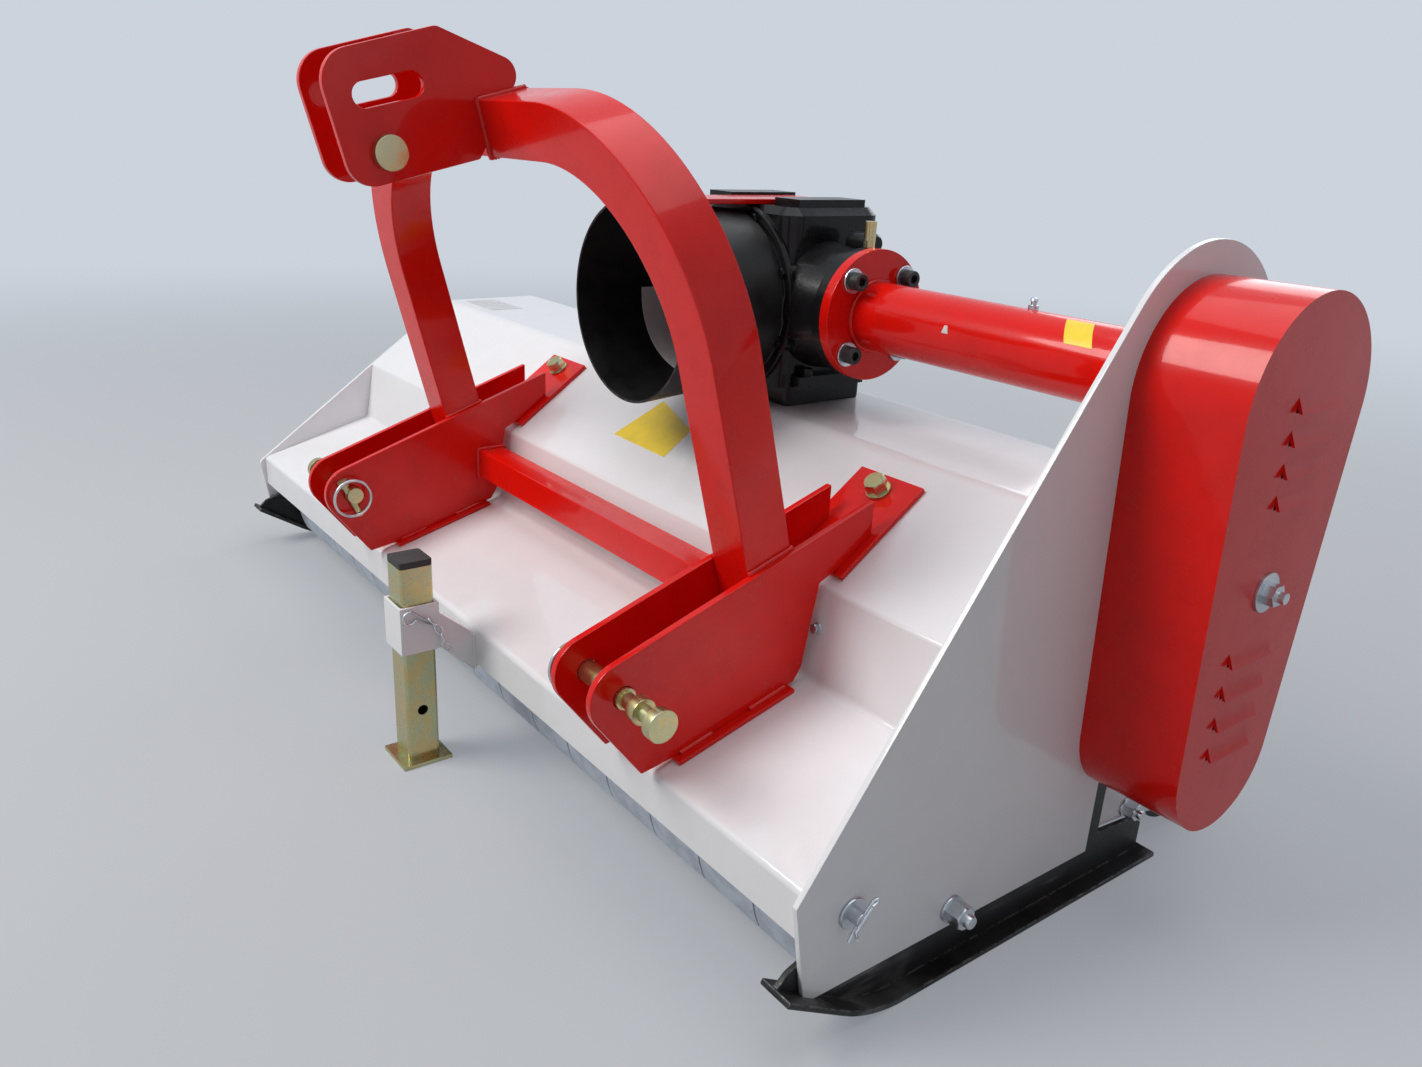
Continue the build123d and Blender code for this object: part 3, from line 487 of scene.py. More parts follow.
def round_arrises(piece, edge, angle=32.0, chosen=None):
    """Rounds the arrises of a piece, or only those that the chosen test picks by their middle."""
    bevel = piece.modifiers.new("edge", "BEVEL")
    bevel.width = edge * MM
    bevel.segments = 2
    bevel.limit_method = "WEIGHT" if chosen else "ANGLE"
    if chosen:
        bm = bmesh.new()
        bm.from_mesh(piece.data)
        weight = bm.edges.layers.float.new("bevel_weight_edge")
        for item in bm.edges:
            if len(item.link_faces) == 2 and item.calc_face_angle() > math.radians(angle):
                item[weight] = float(chosen((item.verts[0].co + item.verts[1].co) / 2))
        bm.to_mesh(piece.data)
        bm.free()
    bevel.angle_limit = math.radians(angle)
    bevel.use_clamp_overlap = True
    bevel.miter_outer = "MITER_ARC"
    return settle(piece)


def dress(node, slot, edge, alter=None, chosen=None):
    """A copy of a node with its flats joined up and its arrises rounded, standing for it."""
    source = frame["nodes"][node]
    bm = bmesh.new()
    bm.from_mesh(source.data)
    bmesh.ops.remove_doubles(bm, verts=bm.verts, dist=0.02 * MM)
    if alter:
        alter(bm)
    bmesh.ops.dissolve_limit(
        bm, angle_limit=math.radians(0.6), verts=bm.verts, edges=bm.edges, use_dissolve_boundaries=False
    )
    mesh = mesh_from(bm, node + "_shaped")
    for name in [layer.name for layer in mesh.attributes if layer.name == "custom_normal"]:
        mesh.attributes.remove(mesh.attributes[name])
    piece = new_piece(node + "_shaped", mesh, slot, source["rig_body"])
    mesh.shade_smooth()
    round_arrises(piece, edge, chosen=chosen)
    even_normals(piece)
    piece.data.materials.clear()
    piece.data.materials.append(finishes[slot])
    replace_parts(piece, node)


# The front flange is shorter than the solid's, so that more of the flaps shows below it
flange_bottom_in_solid = 89.0
flange_bottom = 110.5
flange_depth_y = 60.0
flange_reach = 4.0              # how far above the solid's edge its corners still belong to the flange


def shorten_flange(bm):
    low = (flange_bottom_in_solid + flange_reach) * MM
    back = place(0, flange_depth_y, 0).y
    for vert in bm.verts:
        if vert.co.z < low and vert.co.y < back:
            vert.co.z += (flange_bottom - flange_bottom_in_solid) * MM


record_slots = {row["node"]: row["material_slot"] for row in frame["record"]["subparts"]}
edge_widths = {
    # mm of rounding on the arrises; the rest take the usual width
    "hood": 0.9, "gearbox_housing": 3.0, "gearbox_base": 2.0, "roller": 2.5, "hitch_arch": 2.0,
    "cross_tube": 2.0, "belt_cover": 2.2, "hammers": 0.9, "rotor": 1.0, "pto_shield": 0.6,
    "side_plate_right": 0.9, "side_plate_left": 0.9, "stand_socket": 1.6, "top_link_plate_left": 1.0,
    "top_link_plate_right": 1.0, "lower_pin_right": 0.8, "lower_pin_left": 0.8,
}
usual_edge = 1.0
made_anew = ("skid_right", "skid_left", "front_flaps")


cover_lower_radius = 76.0
cover_upper_radius = 100.0
rim_width = 8.0


def on_cover_rim(middle):
    """The cover's outer arris, clear of the louvres in its face."""
    y = (middle.y - pin_y) / MM
    z = middle.z / MM
    share = min(1.0, max(0.0, (z - rotor_z) / (tube_z - rotor_z)))
    centre_y = rotor_y + (tube_y - rotor_y) * share
    centre_z = rotor_z + (tube_z - rotor_z) * share
    radius = cover_lower_radius + (cover_upper_radius - cover_lower_radius) * share
    on_face = middle.x > cover_face_x - 1.0 * MM
    return on_face and math.hypot(y - centre_y, z - centre_z) > radius - rim_width


alterations = {"hood": shorten_flange}
choices = {"belt_cover": on_cover_rim}
for node, slot in record_slots.items():
    if node not in made_anew:
        width = edge_widths.get(node, usual_edge)
        dress(node, slot, width, alter=alterations.get(node), chosen=choices.get(node))


def loft(bm, rings):
    """Skins a row of equal loops of points, with caps on both ends."""
    rows = [[bm.verts.new(p) for p in ring] for ring in rings]
    count = len(rows[0])
    for lower, upper in zip(rows, rows[1:]):
        for i in range(count):
            j = (i + 1) % count
            bm.faces.new((lower[i], lower[j], upper[j], upper[i]))
    bm.faces.new(list(reversed(rows[0])))
    bm.faces.new(rows[-1])


def around(count):
    """Angles of an even division of the circle."""
    return [math.tau * i / count for i in range(count)]


def round_ring(radius, z, count=24):
    return [Vector((radius * math.cos(a), radius * math.sin(a), z)) for a in around(count)]


def hex_ring(flats, z, count=24, limit=None):
    """A hexagon across flats sampled all round, its corners cut back to a limiting radius."""
    points = []
    for angle in around(count):
        reach = flats / 2 / math.cos((angle + math.pi / 6) % (math.pi / 3) - math.pi / 6)
        reach = min(reach, limit) if limit else reach
        points.append(Vector((reach * math.cos(angle), reach * math.sin(angle), z)))
    return points


def fastener_shape(kind):
    """A fastener for one millimetre across flats, standing on its seat along +Z."""
    bm = bmesh.new()
    washer = 0.14
    loft(bm, [round_ring(0.62, 0), round_ring(0.64, 0.03), round_ring(0.64, washer - 0.03),
              round_ring(0.62, washer)])
    top = washer + 0.62
    if kind == "bolt_head":
        loft(bm, [hex_ring(1, washer), hex_ring(1, top - 0.10), hex_ring(1, top - 0.04, limit=0.55),
                  hex_ring(1, top, limit=0.50), round_ring(0.42, top), round_ring(0.40, top - 0.02)])
    elif kind == "socket_screw":
        loft(bm, [round_ring(0.46, washer), round_ring(0.46, top - 0.05), round_ring(0.42, top),
                  round_ring(0.27, top), hex_ring(0.44, top - 0.03), hex_ring(0.44, top - 0.30)])
    elif kind == "nut":
        high = top + 0.14
        loft(bm, [hex_ring(1, washer), hex_ring(1, high - 0.10), hex_ring(1, high - 0.04, limit=0.55),
                  hex_ring(1, high, limit=0.50), round_ring(0.34, high)])
        loft(bm, [round_ring(0.31, high - 0.02), round_ring(0.31, high + 0.26),
                  round_ring(0.27, high + 0.32)])
    bmesh.ops.recalc_face_normals(bm, faces=bm.faces)
    mesh = mesh_from(bm, kind)
    smooth(mesh)
    return mesh


def geometry_tree(name, inputs):
    """An empty Geometry Nodes tree with a mesh in, a mesh out and the named inputs."""
    tree = bpy.data.node_groups.new(name, "GeometryNodeTree")
    tree.interface.new_socket("Mesh", in_out="INPUT", socket_type="NodeSocketGeometry")
    for label, kind, value in inputs:
        made = tree.interface.new_socket(label, in_out="INPUT", socket_type=kind)
        if value is not None:
            made.default_value = value
    tree.interface.new_socket("Mesh", in_out="OUTPUT", socket_type="NodeSocketGeometry")
    return tree, Tree(tree)


def deliver(tree, geometry, given):
    """Ends a tree: real geometry in its finish."""
    real = tree.add("GeometryNodeRealizeInstances")
    tree.fill(real, Geometry=geometry)
    coat = tree.add("GeometryNodeSetMaterial")
    tree.fill(coat, Geometry=real.outputs["Geometry"], Material=given["Finish"])
    tree.link(coat.outputs["Geometry"], tree.add("NodeGroupOutput").inputs["Mesh"])


def shade_round(tree, geometry):
    shaded = tree.add("GeometryNodeSetShadeSmooth")
    tree.fill(shaded, Geometry=geometry)
    return shaded.outputs["Geometry"]


def turn_about_own_z(tree, rotation, angle):
    """A rotation turned further about its own Z axis."""
    about = tree.add("FunctionNodeAxisAngleToRotation")
    tree.fill(about, Axis=(0, 0, 1), Angle=angle)
    spin = tree.add("FunctionNodeRotateRotation", rotation_space="LOCAL")
    tree.fill(spin, Rotation=rotation, Rotate_By=about.outputs["Rotation"])
    return spin.outputs["Rotation"]


def named(tree, name, data_type="FLOAT"):
    layer = tree.add("GeometryNodeInputNamedAttribute", data_type=data_type)
    layer.inputs["Name"].default_value = name
    return layer.outputs["Attribute"]


def set_input(modifier, name, value):
    """Sets a tree's input by its socket's identifier."""
    item = next(i for i in modifier.node_group.interface.items_tree
                if i.name == name and i.item_type == "SOCKET" and i.in_out == "INPUT")
    modifier[item.identifier] = value


def grow(piece, group, **inputs):
    """Runs a tree on a piece with its inputs set, and keeps the plain mesh."""
    modifier = piece.modifiers.new(group.name, "NODES")
    modifier.node_group = group
    for name, value in inputs.items():
        set_input(modifier, name, value)
    return settle(piece)


def fastener_tree():
    """Stands a prototype on each point, turned to its axis and scaled by its size."""
    group, tree = geometry_tree("fasteners", [
        ("Prototype", "NodeSocketObject", None),
        ("Finish", "NodeSocketMaterial", None),
        ("Scale", NUMBER, 1.0),
    ])
    given = tree.add("NodeGroupInput").outputs
    aim = tree.add("FunctionNodeAlignRotationToVector", axis="Z")
    tree.link(named(tree, "axis", "FLOAT_VECTOR"), aim.inputs["Vector"])
    shape = tree.add("GeometryNodeObjectInfo")
    tree.link(given["Prototype"], shape.inputs["Object"])
    put = tree.add("GeometryNodeInstanceOnPoints")
    turned = turn_about_own_z(tree, aim.outputs["Rotation"], named(tree, "turn"))
    sized = tree.math("MULTIPLY", named(tree, "size"), given["Scale"])
    tree.fill(put, Points=given["Mesh"], Instance=shape.outputs["Geometry"], Rotation=turned, Scale=sized)
    deliver(tree, put.outputs["Instances"], given)
    return group


fasteners_group = fastener_tree()


def fasten(name, kind, slot, rows):
    """One mesh of like fasteners; rows are (point, axis, millimetres across flats)."""
    prototype = put_in_scene(kind + "_prototype", fastener_shape(kind))
    points = bpy.data.meshes.new(name)
    points.from_pydata([row[0] for row in rows], [], [])
    for label, data_type, values in (
        ("axis", "FLOAT_VECTOR", [tuple(row[1]) for row in rows]),
        ("size", "FLOAT", [row[2] for row in rows]),
        ("turn", "FLOAT", [(0.7 + 1.9 * i) % math.tau for i in range(len(rows))]),
    ):
        layer = points.attributes.new(label, data_type, "POINT")
        for item, value in zip(layer.data, values):
            setattr(item, "value" if data_type == "FLOAT" else "vector", value)
    grow(new_piece(name, points, slot), fasteners_group, Prototype=prototype, Finish=finishes[slot], Scale=MM)
    bpy.data.objects.remove(prototype)


OUT_X = Vector((1, 0, 0))
IN_X = Vector((-1, 0, 0))
FRONT = Vector((0, -1, 0))
BACK = Vector((0, 1, 0))
UP = Vector((0, 0, 1))


def weld_tree():
    """A rippled bead along each chain of edges."""
    group, tree = geometry_tree("weld beads", [
        ("Finish", "NodeSocketMaterial", None),
        ("Radius", NUMBER, 0.003),
        ("Pitch", NUMBER, 0.0035),
        ("Ripple", NUMBER, 0.14),
    ])
    given = tree.add("NodeGroupInput").outputs
    line = tree.add("GeometryNodeMeshToCurve")
    tree.link(given["Mesh"], line.inputs["Mesh"])
    even = tree.add("GeometryNodeResampleCurve", mode="LENGTH")
    tree.fill(even, Curve=line.outputs["Curve"], Length=0.0016)
    along = tree.add("GeometryNodeSplineParameter")
    turns = tree.math("DIVIDE", tree.math("MULTIPLY", along.outputs["Length"], math.tau), given["Pitch"])
    waves = tree.math("SINE", turns)
    jitter = tree.add("ShaderNodeTexNoise")
    where = tree.add("GeometryNodeInputPosition")
    tree.fill(jitter, Scale=90.0, Vector=where.outputs[0])
    uneven = tree.math("MULTIPLY_ADD", jitter.outputs[0], 0.5, 0.75)
    swell = tree.math("MULTIPLY", tree.math("MULTIPLY_ADD", waves, given["Ripple"], 1.0), uneven)
    sized = tree.add("GeometryNodeSetCurveRadius")
    tree.fill(sized, Curve=even.outputs["Curve"], Radius=tree.math("MULTIPLY", swell, given["Radius"]))
    ring = tree.add("GeometryNodeCurvePrimitiveCircle")
    tree.fill(ring, Resolution=7, Radius=1.0)
    bead = tree.add("GeometryNodeCurveToMesh")
    width = tree.add("GeometryNodeInputRadius")
    tree.fill(bead, Curve=sized.outputs["Curve"], Profile_Curve=ring.outputs["Curve"],
              Scale=width.outputs[0], Fill_Caps=True)
    deliver(tree, shade_round(tree, bead.outputs["Mesh"]), given)
    return group


weld_group = weld_tree()


def weld(name, slot, runs, radius):
    """Beads along runs of points."""
    verts, edges = [], []
    for run in runs:
        start = len(verts)
        verts += [tuple(p) for p in run]
        edges += [(i, i + 1) for i in range(start, len(verts) - 1)]
    mesh = bpy.data.meshes.new(name)
    mesh.from_pydata(verts, edges, [])
    grow(new_piece(name, mesh, slot), weld_group, Finish=finishes[slot], Radius=radius * MM)


# Profiled plates and wires

def extrude_outline(bm, outline, x0, x1):
    """Closes a Y-Z outline, in millimetres from the hitch, into a plate from x0 to x1."""
    near = [bm.verts.new(place(x0, y, z)) for y, z in outline]
    far = [bm.verts.new(place(x1, y, z)) for y, z in outline]
    count = len(outline)
    bm.faces.new(near)
    bm.faces.new(list(reversed(far)))
    for i in range(count):
        j = (i + 1) % count
        bm.faces.new((near[j], near[i], far[i], far[j]))


def plate_piece(name, slot, plates, edge, body="frame", finish=None):
    """One mesh of profiled plates; plates are (outline, x0, x1)."""
    bm = bmesh.new()
    for outline, x0, x1 in plates:
        extrude_outline(bm, outline, x0, x1)
    bmesh.ops.recalc_face_normals(bm, faces=bm.faces)
    mesh = mesh_from(bm, name)
    piece = new_piece(name, mesh, slot, body, finish)
    mesh.shade_smooth()
    round_arrises(piece, edge)
    return even_normals(piece)


def arc(centre, radius, start, end, count):
    """Points of an arc as pairs, angles in degrees."""
    angles = (math.radians(start + (end - start) * i / (count - 1)) for i in range(count))
    return [(centre[0] + radius * math.cos(a), centre[1] + radius * math.sin(a)) for a in angles]


def wires(name, slot, paths, radius, closed=False):
    """Round wire along each path of points."""
    curve = bpy.data.curves.new(name, "CURVE")
    curve.dimensions = "3D"
    curve.bevel_depth = radius * MM
    curve.bevel_resolution = 3
    curve.use_fill_caps = True
    for path in paths:
        spline = curve.splines.new("POLY")
        spline.points.add(len(path) - 1)
        for point, where in zip(spline.points, path):
            point.co = (*where, 1)
        spline.use_cyclic_u = closed
    holder = put_in_scene(name, curve)
    mesh = evaluated_mesh(holder)
    bpy.data.objects.remove(holder)
    smooth(mesh, 50.0)
    return new_piece(name, mesh, slot)


# Skids: a sole whose nose rises in a long curve, a web that fills it, and a rear upright

skid_sole = 6.0
sole_outside = 13.0
sole_inside = 24.0
sole_back_y = 560.0
nose_y = 14.0
nose_z = 66.0
nose_angle = 32.0
nose_radius = 150.0
nose_turn = math.radians(nose_angle)
nose_run = (nose_z - nose_radius * (1 - math.cos(nose_turn))) / math.sin(nose_turn)
toe_y = nose_y + nose_run * math.cos(nose_turn) + nose_radius * math.sin(nose_turn)
sole_lower = [(nose_y, nose_z), *arc((toe_y, nose_radius), nose_radius, 270 - nose_angle, 270, 9)]
sole_upper = [
    (nose_y + skid_sole * math.sin(nose_turn), nose_z + skid_sole * math.cos(nose_turn)),
    *arc((toe_y, nose_radius), nose_radius - skid_sole, 270 - nose_angle, 270, 9),
]
sole_outline = [*sole_lower, (sole_back_y, 0.0), (sole_back_y, skid_sole), *reversed(sole_upper)]
web_outline = [
    *((y + 1, z - 1) for y, z in sole_upper),
    (552.0, 5.0), (552.0, 38.0), (530.0, 50.0), (468.0, 56.0), (468.0, 152.0), (410.0, 152.0),
    (380.0, 108.0), (110.0, 108.0), (60.0, 92.0), (30.0, 81.0),
]
for side, name in ((1, "skid_right"), (-1, "skid_left")):
    face = right_face if side > 0 else left_face
    inner = face - side * side_sheet
    plates = [
        (sole_outline, *sorted((face + side * sole_outside, face - side * sole_inside))),
        (web_outline, *sorted((inner, inner - side * side_sheet))),
    ]
    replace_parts(plate_piece(name + "_shaped", "black_paint", plates, edge=1.4, finish=skid_finish), name)

# Front flaps: rolled eyes on the rod and plates that curl back towards the ground

flap_rod_y = 92.0
flap_rod_z = 121.0
flap_count = 16
flap_gap = 2.2
flap_side_gap = 23.0
flap_thickness = 4.0
flap_eye = 11.0
flap_bottom = 25.0
flap_curl = 120.0
flap_front_y = flap_rod_y - flap_eye
flap_straight_z = 78.0
curl_turn = math.degrees(math.asin((flap_straight_z - flap_bottom) / flap_curl))
curl_centre = (flap_front_y + flap_curl, flap_straight_z)
flap_outline = [
    *arc((flap_rod_y, flap_rod_z), flap_eye, 180, -140, 15),
    *arc((flap_rod_y, flap_rod_z), flap_eye - flap_thickness, -140, 180, 13)[:-1],
    (flap_front_y + flap_thickness, flap_rod_z),
    *arc(curl_centre, flap_curl - flap_thickness, 180, 180 + curl_turn, 7),
    *arc(curl_centre, flap_curl, 180 + curl_turn, 180, 7),
]
row_from = left_face + side_sheet + flap_side_gap
row_to = right_face - side_sheet - flap_side_gap
flap_pitch = (row_to - row_from) / flap_count
flap_starts = [row_from + index * flap_pitch for index in range(flap_count)]
flap_plates = [(flap_outline, x + flap_gap / 2, x + flap_pitch - flap_gap / 2) for x in flap_starts]
flaps = plate_piece("front_flaps_shaped", "grey_steel", flap_plates, edge=0.5, body="flaps")
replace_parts(flaps, "front_flaps")

# Fasteners, in millimetres from the hitch

half_spread = 341.5
slant_normal = Vector((0, -0.581, 0.814))
riser_normal = Vector((0, -0.986, 0.164))
fasten("strap_bolts", "bolt_head", "yellow_zinc", [
    (place(side * half_spread, 342.6, 387.0), slant_normal, 22) for side in (1, -1)
])
fasten("riser_bolts", "bolt_head", "zinc_steel", [
    (place(side * 379.0, 234.4, 266.0), riser_normal, 10) for side in (1, -1)
])
flange_face_x = 186.0
flange_bolt_reach = 60.0 * math.sqrt(0.5)
corners = [(a, b) for a in (1, -1) for b in (1, -1)]
flange_points = [
    place(flange_face_x, tube_y + a * flange_bolt_reach, tube_z + b * flange_bolt_reach) for a, b in corners
]
fasten("flange_bolts", "socket_screw", "black_plastic", [(point, OUT_X, 22) for point in flange_points])
fasten("flange_washers", "washer", "zinc_steel", [(point, OUT_X, 23) for point in flange_points])
fasten("side_studs", "nut", "zinc_steel", [
    (place(right_face, 226.0, 67.0), OUT_X, 22), (place(left_face, 226.0, 67.0), IN_X, 22),
    (place(585.0, 523.0, 65.0), OUT_X, 18), (place(-841.0, 523.0, 65.0), IN_X, 18),
])
fasten("rod_washers", "washer", "zinc_steel", [
    (place(right_face, flap_rod_y, flap_rod_z), OUT_X, 24),
    (place(left_face, flap_rod_y, flap_rod_z), IN_X, 24),
])

# Casting: ears with bolts around the input rim, a collar, a boss, and screws on the caps and base

rim_ears = 8
ear_reach = 107.0
ear_radius = 11.0
ear_front_y = 400.5
ear_depth = 11.0
ear_points = [
    (ear_reach * math.cos(a), tube_z + ear_reach * math.sin(a))
    for a in (math.radians(22.5 + 45 * i) for i in range(rim_ears))
]
bm = bmesh.new()
for x, z in ear_points:
    rings = []
    for depth, radius in ((0, ear_radius - 1.5), (1.5, ear_radius), (ear_depth, ear_radius)):
        rings.append([place(x + p.x, ear_front_y + depth, z + p.y) for p in round_ring(radius, 0)])
    loft(bm, rings)
boss_y = 488.0
boss_z = 620.0
boss_steps = ((118, 12), (156, 12), (160, 9))               # (x, radius)
loft(bm, [[place(x, boss_y + p.x, boss_z + p.y) for p in round_ring(radius, 0)] for x, radius in boss_steps])
collar_steps = (                                            # (y, radius)
    (395.0, 112.0), (395.0, 117.0), (396.5, 118.5), (401.0, 118.5), (402.5, 117.0), (402.5, 112.0)
)
loft(bm, [[place(p.x, y, tube_z + p.y) for p in round_ring(radius, 0, 72)] for y, radius in collar_steps])
closed_piece("casting_ears", "black_casting", bm)
fasten("rim_bolts", "bolt_head", "black_casting", [
    (place(x, ear_front_y, z), FRONT, 13) for x, z in ear_points
])
fasten("cap_bolts", "bolt_head", "black_casting", [
    (place(-116.0, tube_y + 60 * math.cos(a), tube_z + 60 * math.sin(a)), IN_X, 13) for a in around(6)
] + [
    (place(50 * math.cos(a), 570.0, tube_z + 50 * math.sin(a)), BACK, 11) for a in around(6)
] + [
    (place(side * 107.0, y, 456.0), UP, 13) for side in (1, -1) for y in (440.0, 516.0)
])

# Bearing bolts at the left side, and the grease fitting of the shaft tube

bearing_reach = 46.0
bearing_flange = 12.0
fasten("bearing_bolts", "bolt_head", "zinc_steel", [
    (place(left_face - bearing_flange, rotor_y + a * bearing_reach, rotor_z + b * bearing_reach), IN_X, 15)
    for a, b in corners
])
fitting_x = 405.0
fitting_y = 475.0
fitting_foot_z = tube_z + 39.0
fitting_steps = ((0, 5.5), (5.0, 5.5), (5.6, 3.2), (9.0, 3.2), (9.8, 4.2), (12.0, 3.4), (13.0, 1.6))
bm = bmesh.new()
loft(bm, [
    [place(fitting_x + p.x, fitting_y + p.y, fitting_foot_z + height) for p in round_ring(radius, 0)]
    for height, radius in fitting_steps
])
closed_piece("grease_fitting", "zinc_steel", bm)

# Welds

lean = math.radians(14.9)
arch_u = (-math.sin(lean), math.cos(lean))
arch_n = (math.cos(lean), math.sin(lean))
arch_half = 28.0
square = ((1, 1), (1, -1), (-1, -1), (-1, 1), (1, 1))


def arch_corner(middle, along, across):
    y = middle[0] + along * arch_u[0] * arch_half + across * arch_n[0] * arch_half
    z = middle[1] + along * arch_u[1] * arch_half + across * arch_n[1] * arch_half
    return y, z


top_middle = (67.3, 737.3)
top_square = [arch_corner(top_middle, a, c) for a, c in square]
weld_runs = [[place(side * 36.5, y, z) for y, z in top_square] for side in (1, -1)]
leg_edge = ((144.0, 339.5), (199.0, 358.0))
for side in (1, -1):
    for face in (half_spread - arch_half, half_spread + arch_half):
        weld_runs.append([place(side * face, y, z) for y, z in leg_edge])
cross_square = [(209 + a * 20.5, 269 + b * 20.5) for a, b in square]
for side in (1, -1):
    weld_runs.append([place(side * 305.0, y, z) for y, z in cross_square])
deck_front = (37.5, 159.0)          # (y, z) of the hood's front deck
deck_back = (226.0, 212.0)
deck_slope = (deck_back[1] - deck_front[1]) / (deck_back[0] - deck_front[0])
foot_half = 36.0
foot_top = 5.8                      # above the deck
for side in (1, -1):
    for face in (half_spread - foot_half, half_spread + foot_half):
        for run in ((66.0, 104.0), (150.0, 196.0)):
            heights = [deck_front[1] + (y - deck_front[0]) * deck_slope + foot_top for y in run]
            weld_runs.append([place(side * face, y, z) for y, z in zip(run, heights)])
weld_ring_radius = 40.5
tube_ring = [(tube_y + weld_ring_radius * math.cos(a), tube_z + weld_ring_radius * math.sin(a))
             for a in (math.tau * i / 40 for i in range(41))]
for x in (186.5, 590.5):
    weld_runs.append([place(x, y, z) for y, z in tube_ring])
weld("red_welds", "red_paint", weld_runs, radius=3.2)
weld("socket_welds", "white_paint", [
    [place(x, 37.0, z) for z in (106.0, 150.0)] for x in (-37.4, -12.6)
] + [
    [place(x, -11.2, z) for z in (150.0, 190.0)] for x in (-37.4, -12.6)
], radius=2.6)

# Blank labels, a chipped spot and a patch of painted light inside the shield, a film's thickness off what
# carries them

film_lift = 0.35
film_foot = 0.05


def film(name, outline, spread, finish, slot):
    """A thin closed film: outline corners in its own two directions, laid out by a place function."""
    bm = bmesh.new()
    top = [bm.verts.new(spread(a, b, film_lift)) for a, b in outline]
    low = [bm.verts.new(spread(a, b, film_foot)) for a, b in outline]
    bm.faces.new(top)
    bm.faces.new(list(reversed(low)))
    for i in range(len(outline)):
        j = (i + 1) % len(outline)
        bm.faces.new((top[j], top[i], low[i], low[j]))
    closed_piece(name, slot, bm, finish, rounded=False)


slant_foot = (242.0, 308.0)         # (y, z) of the slanted panel's lower and upper edge
slant_top = (392.0, 415.0)


def on_slant(x, y, lift):
    rise = (slant_top[1] - slant_foot[1]) / (slant_top[0] - slant_foot[0])
    z = slant_foot[1] + (y - slant_foot[0]) * rise
    return place(x, y + slant_normal.y * lift, z + slant_normal.z * lift)


def on_roof(x, y, lift):
    return place(x, y, slant_top[1] + lift)


film("panel_label", [(-110, 296), (11, 294), (10, 336), (-84, 358)], on_slant, yellow_film, "yellow_zinc")
film("roof_label", [(-829, 420), (-717, 420), (-717, 480), (-829, 480)], on_roof, grey_film, "zinc_steel")


tube_radius = 40.0


def tube_film(name, edge_low, edge_high, finish, slot, rows=12):
    """A film wrapped on the shaft tube; edges are (x0, x1) at the low and high turn, in degrees."""
    (low_turn, low_x0, low_x1), (high_turn, high_x0, high_x1) = edge_low, edge_high
    bm = bmesh.new()
    rings = []
    for i in range(rows + 1):
        share = i / rows
        turn = math.radians(low_turn + (high_turn - low_turn) * share)
        x0 = low_x0 + (high_x0 - low_x0) * share
        x1 = low_x1 + (high_x1 - low_x1) * share
        ring = []
        for x, lift in ((x0, -0.1), (x0, 0.4), (x1, 0.4), (x1, -0.1)):
            radius = tube_radius + lift
            ring.append(place(x, tube_y - radius * math.cos(turn), tube_z + radius * math.sin(turn)))
        rings.append(ring)
    loft(bm, rings)
    closed_piece(name, slot, bm, finish)


tube_film("tube_label", (30, 476, 508), (76, 458, 490), yellow_film, "yellow_zinc")

shield_front_y = 241.0
shield_back_y = 392.0
shield_inner_front = 117.0
shield_inner_back = 105.0
# Painted light: a pale film on the shield's inner wall, standing for light that falls inside the shield from
# behind
lit_patch_rows = 20
lit_patch_front_y = 334.0
lit_patch_back_y = 388.0
lit_patch_taper = 40.0


def inside_shield(turn, y, inset):
    """A point just off the shield's inner wall."""
    share = (y - shield_front_y) / (shield_back_y - shield_front_y)
    reach = shield_inner_front - (shield_inner_front - shield_inner_back) * share - inset
    return place(reach * math.cos(turn), y, tube_z + reach * math.sin(turn))


rings = []
for i in range(lit_patch_rows + 1):
    turn = math.radians(-180 + 90 * i / lit_patch_rows)
    front = lit_patch_front_y + lit_patch_taper * (i / lit_patch_rows) ** 3
    rings.append([inside_shield(turn, y, inset) for y, inset in
                  ((front, 0.1), (front, 0.5), (lit_patch_back_y, 0.5), (lit_patch_back_y, 0.1))])
bm = bmesh.new()
loft(bm, rings)
closed_piece("shield_worn_paint", "zinc_steel", bm, bare_and_lit_film)
tube_film("tube_chip", (8, 325, 334), (20, 327, 331), bare_and_lit_film, "zinc_steel", rows=4)

# Lynch pins with their rings, split pins, and the stand's clip with its chain

def ring_path(centre, radius):
    return [centre + (BACK * math.cos(a) + UP * math.sin(a)) * radius * MM for a in around(36)]


lynch_rings = []
lynch_shanks = []
lynch_heads = []
for side in (1, -1):
    x = side * 299.0
    top = place(x, -14.0, 270.0)
    foot = place(x, 8.0, 222.0)
    lynch_rings.append(ring_path(place(x - side * 7.0, -4.0, 249.0), 25.0))
    lynch_shanks.append([top, foot])
    lynch_heads.append([top + Vector((0, -1.5, 3.5)) * MM, top + Vector((0, 2.0, -4.5)) * MM])
x = -48.0
lynch_rings.append(ring_path(place(x - 7.0, -62.0, 704.0), 23.0))
lynch_shanks.append([place(x, -68.0, 724.0), place(x, -54.0, 684.0)])
wires("lynch_rings", "zinc_steel", lynch_rings, 2.0, closed=True)
wires("lynch_shanks", "yellow_zinc", lynch_shanks, 4.6)
wires("lynch_heads", "yellow_zinc", lynch_heads, 7.0)

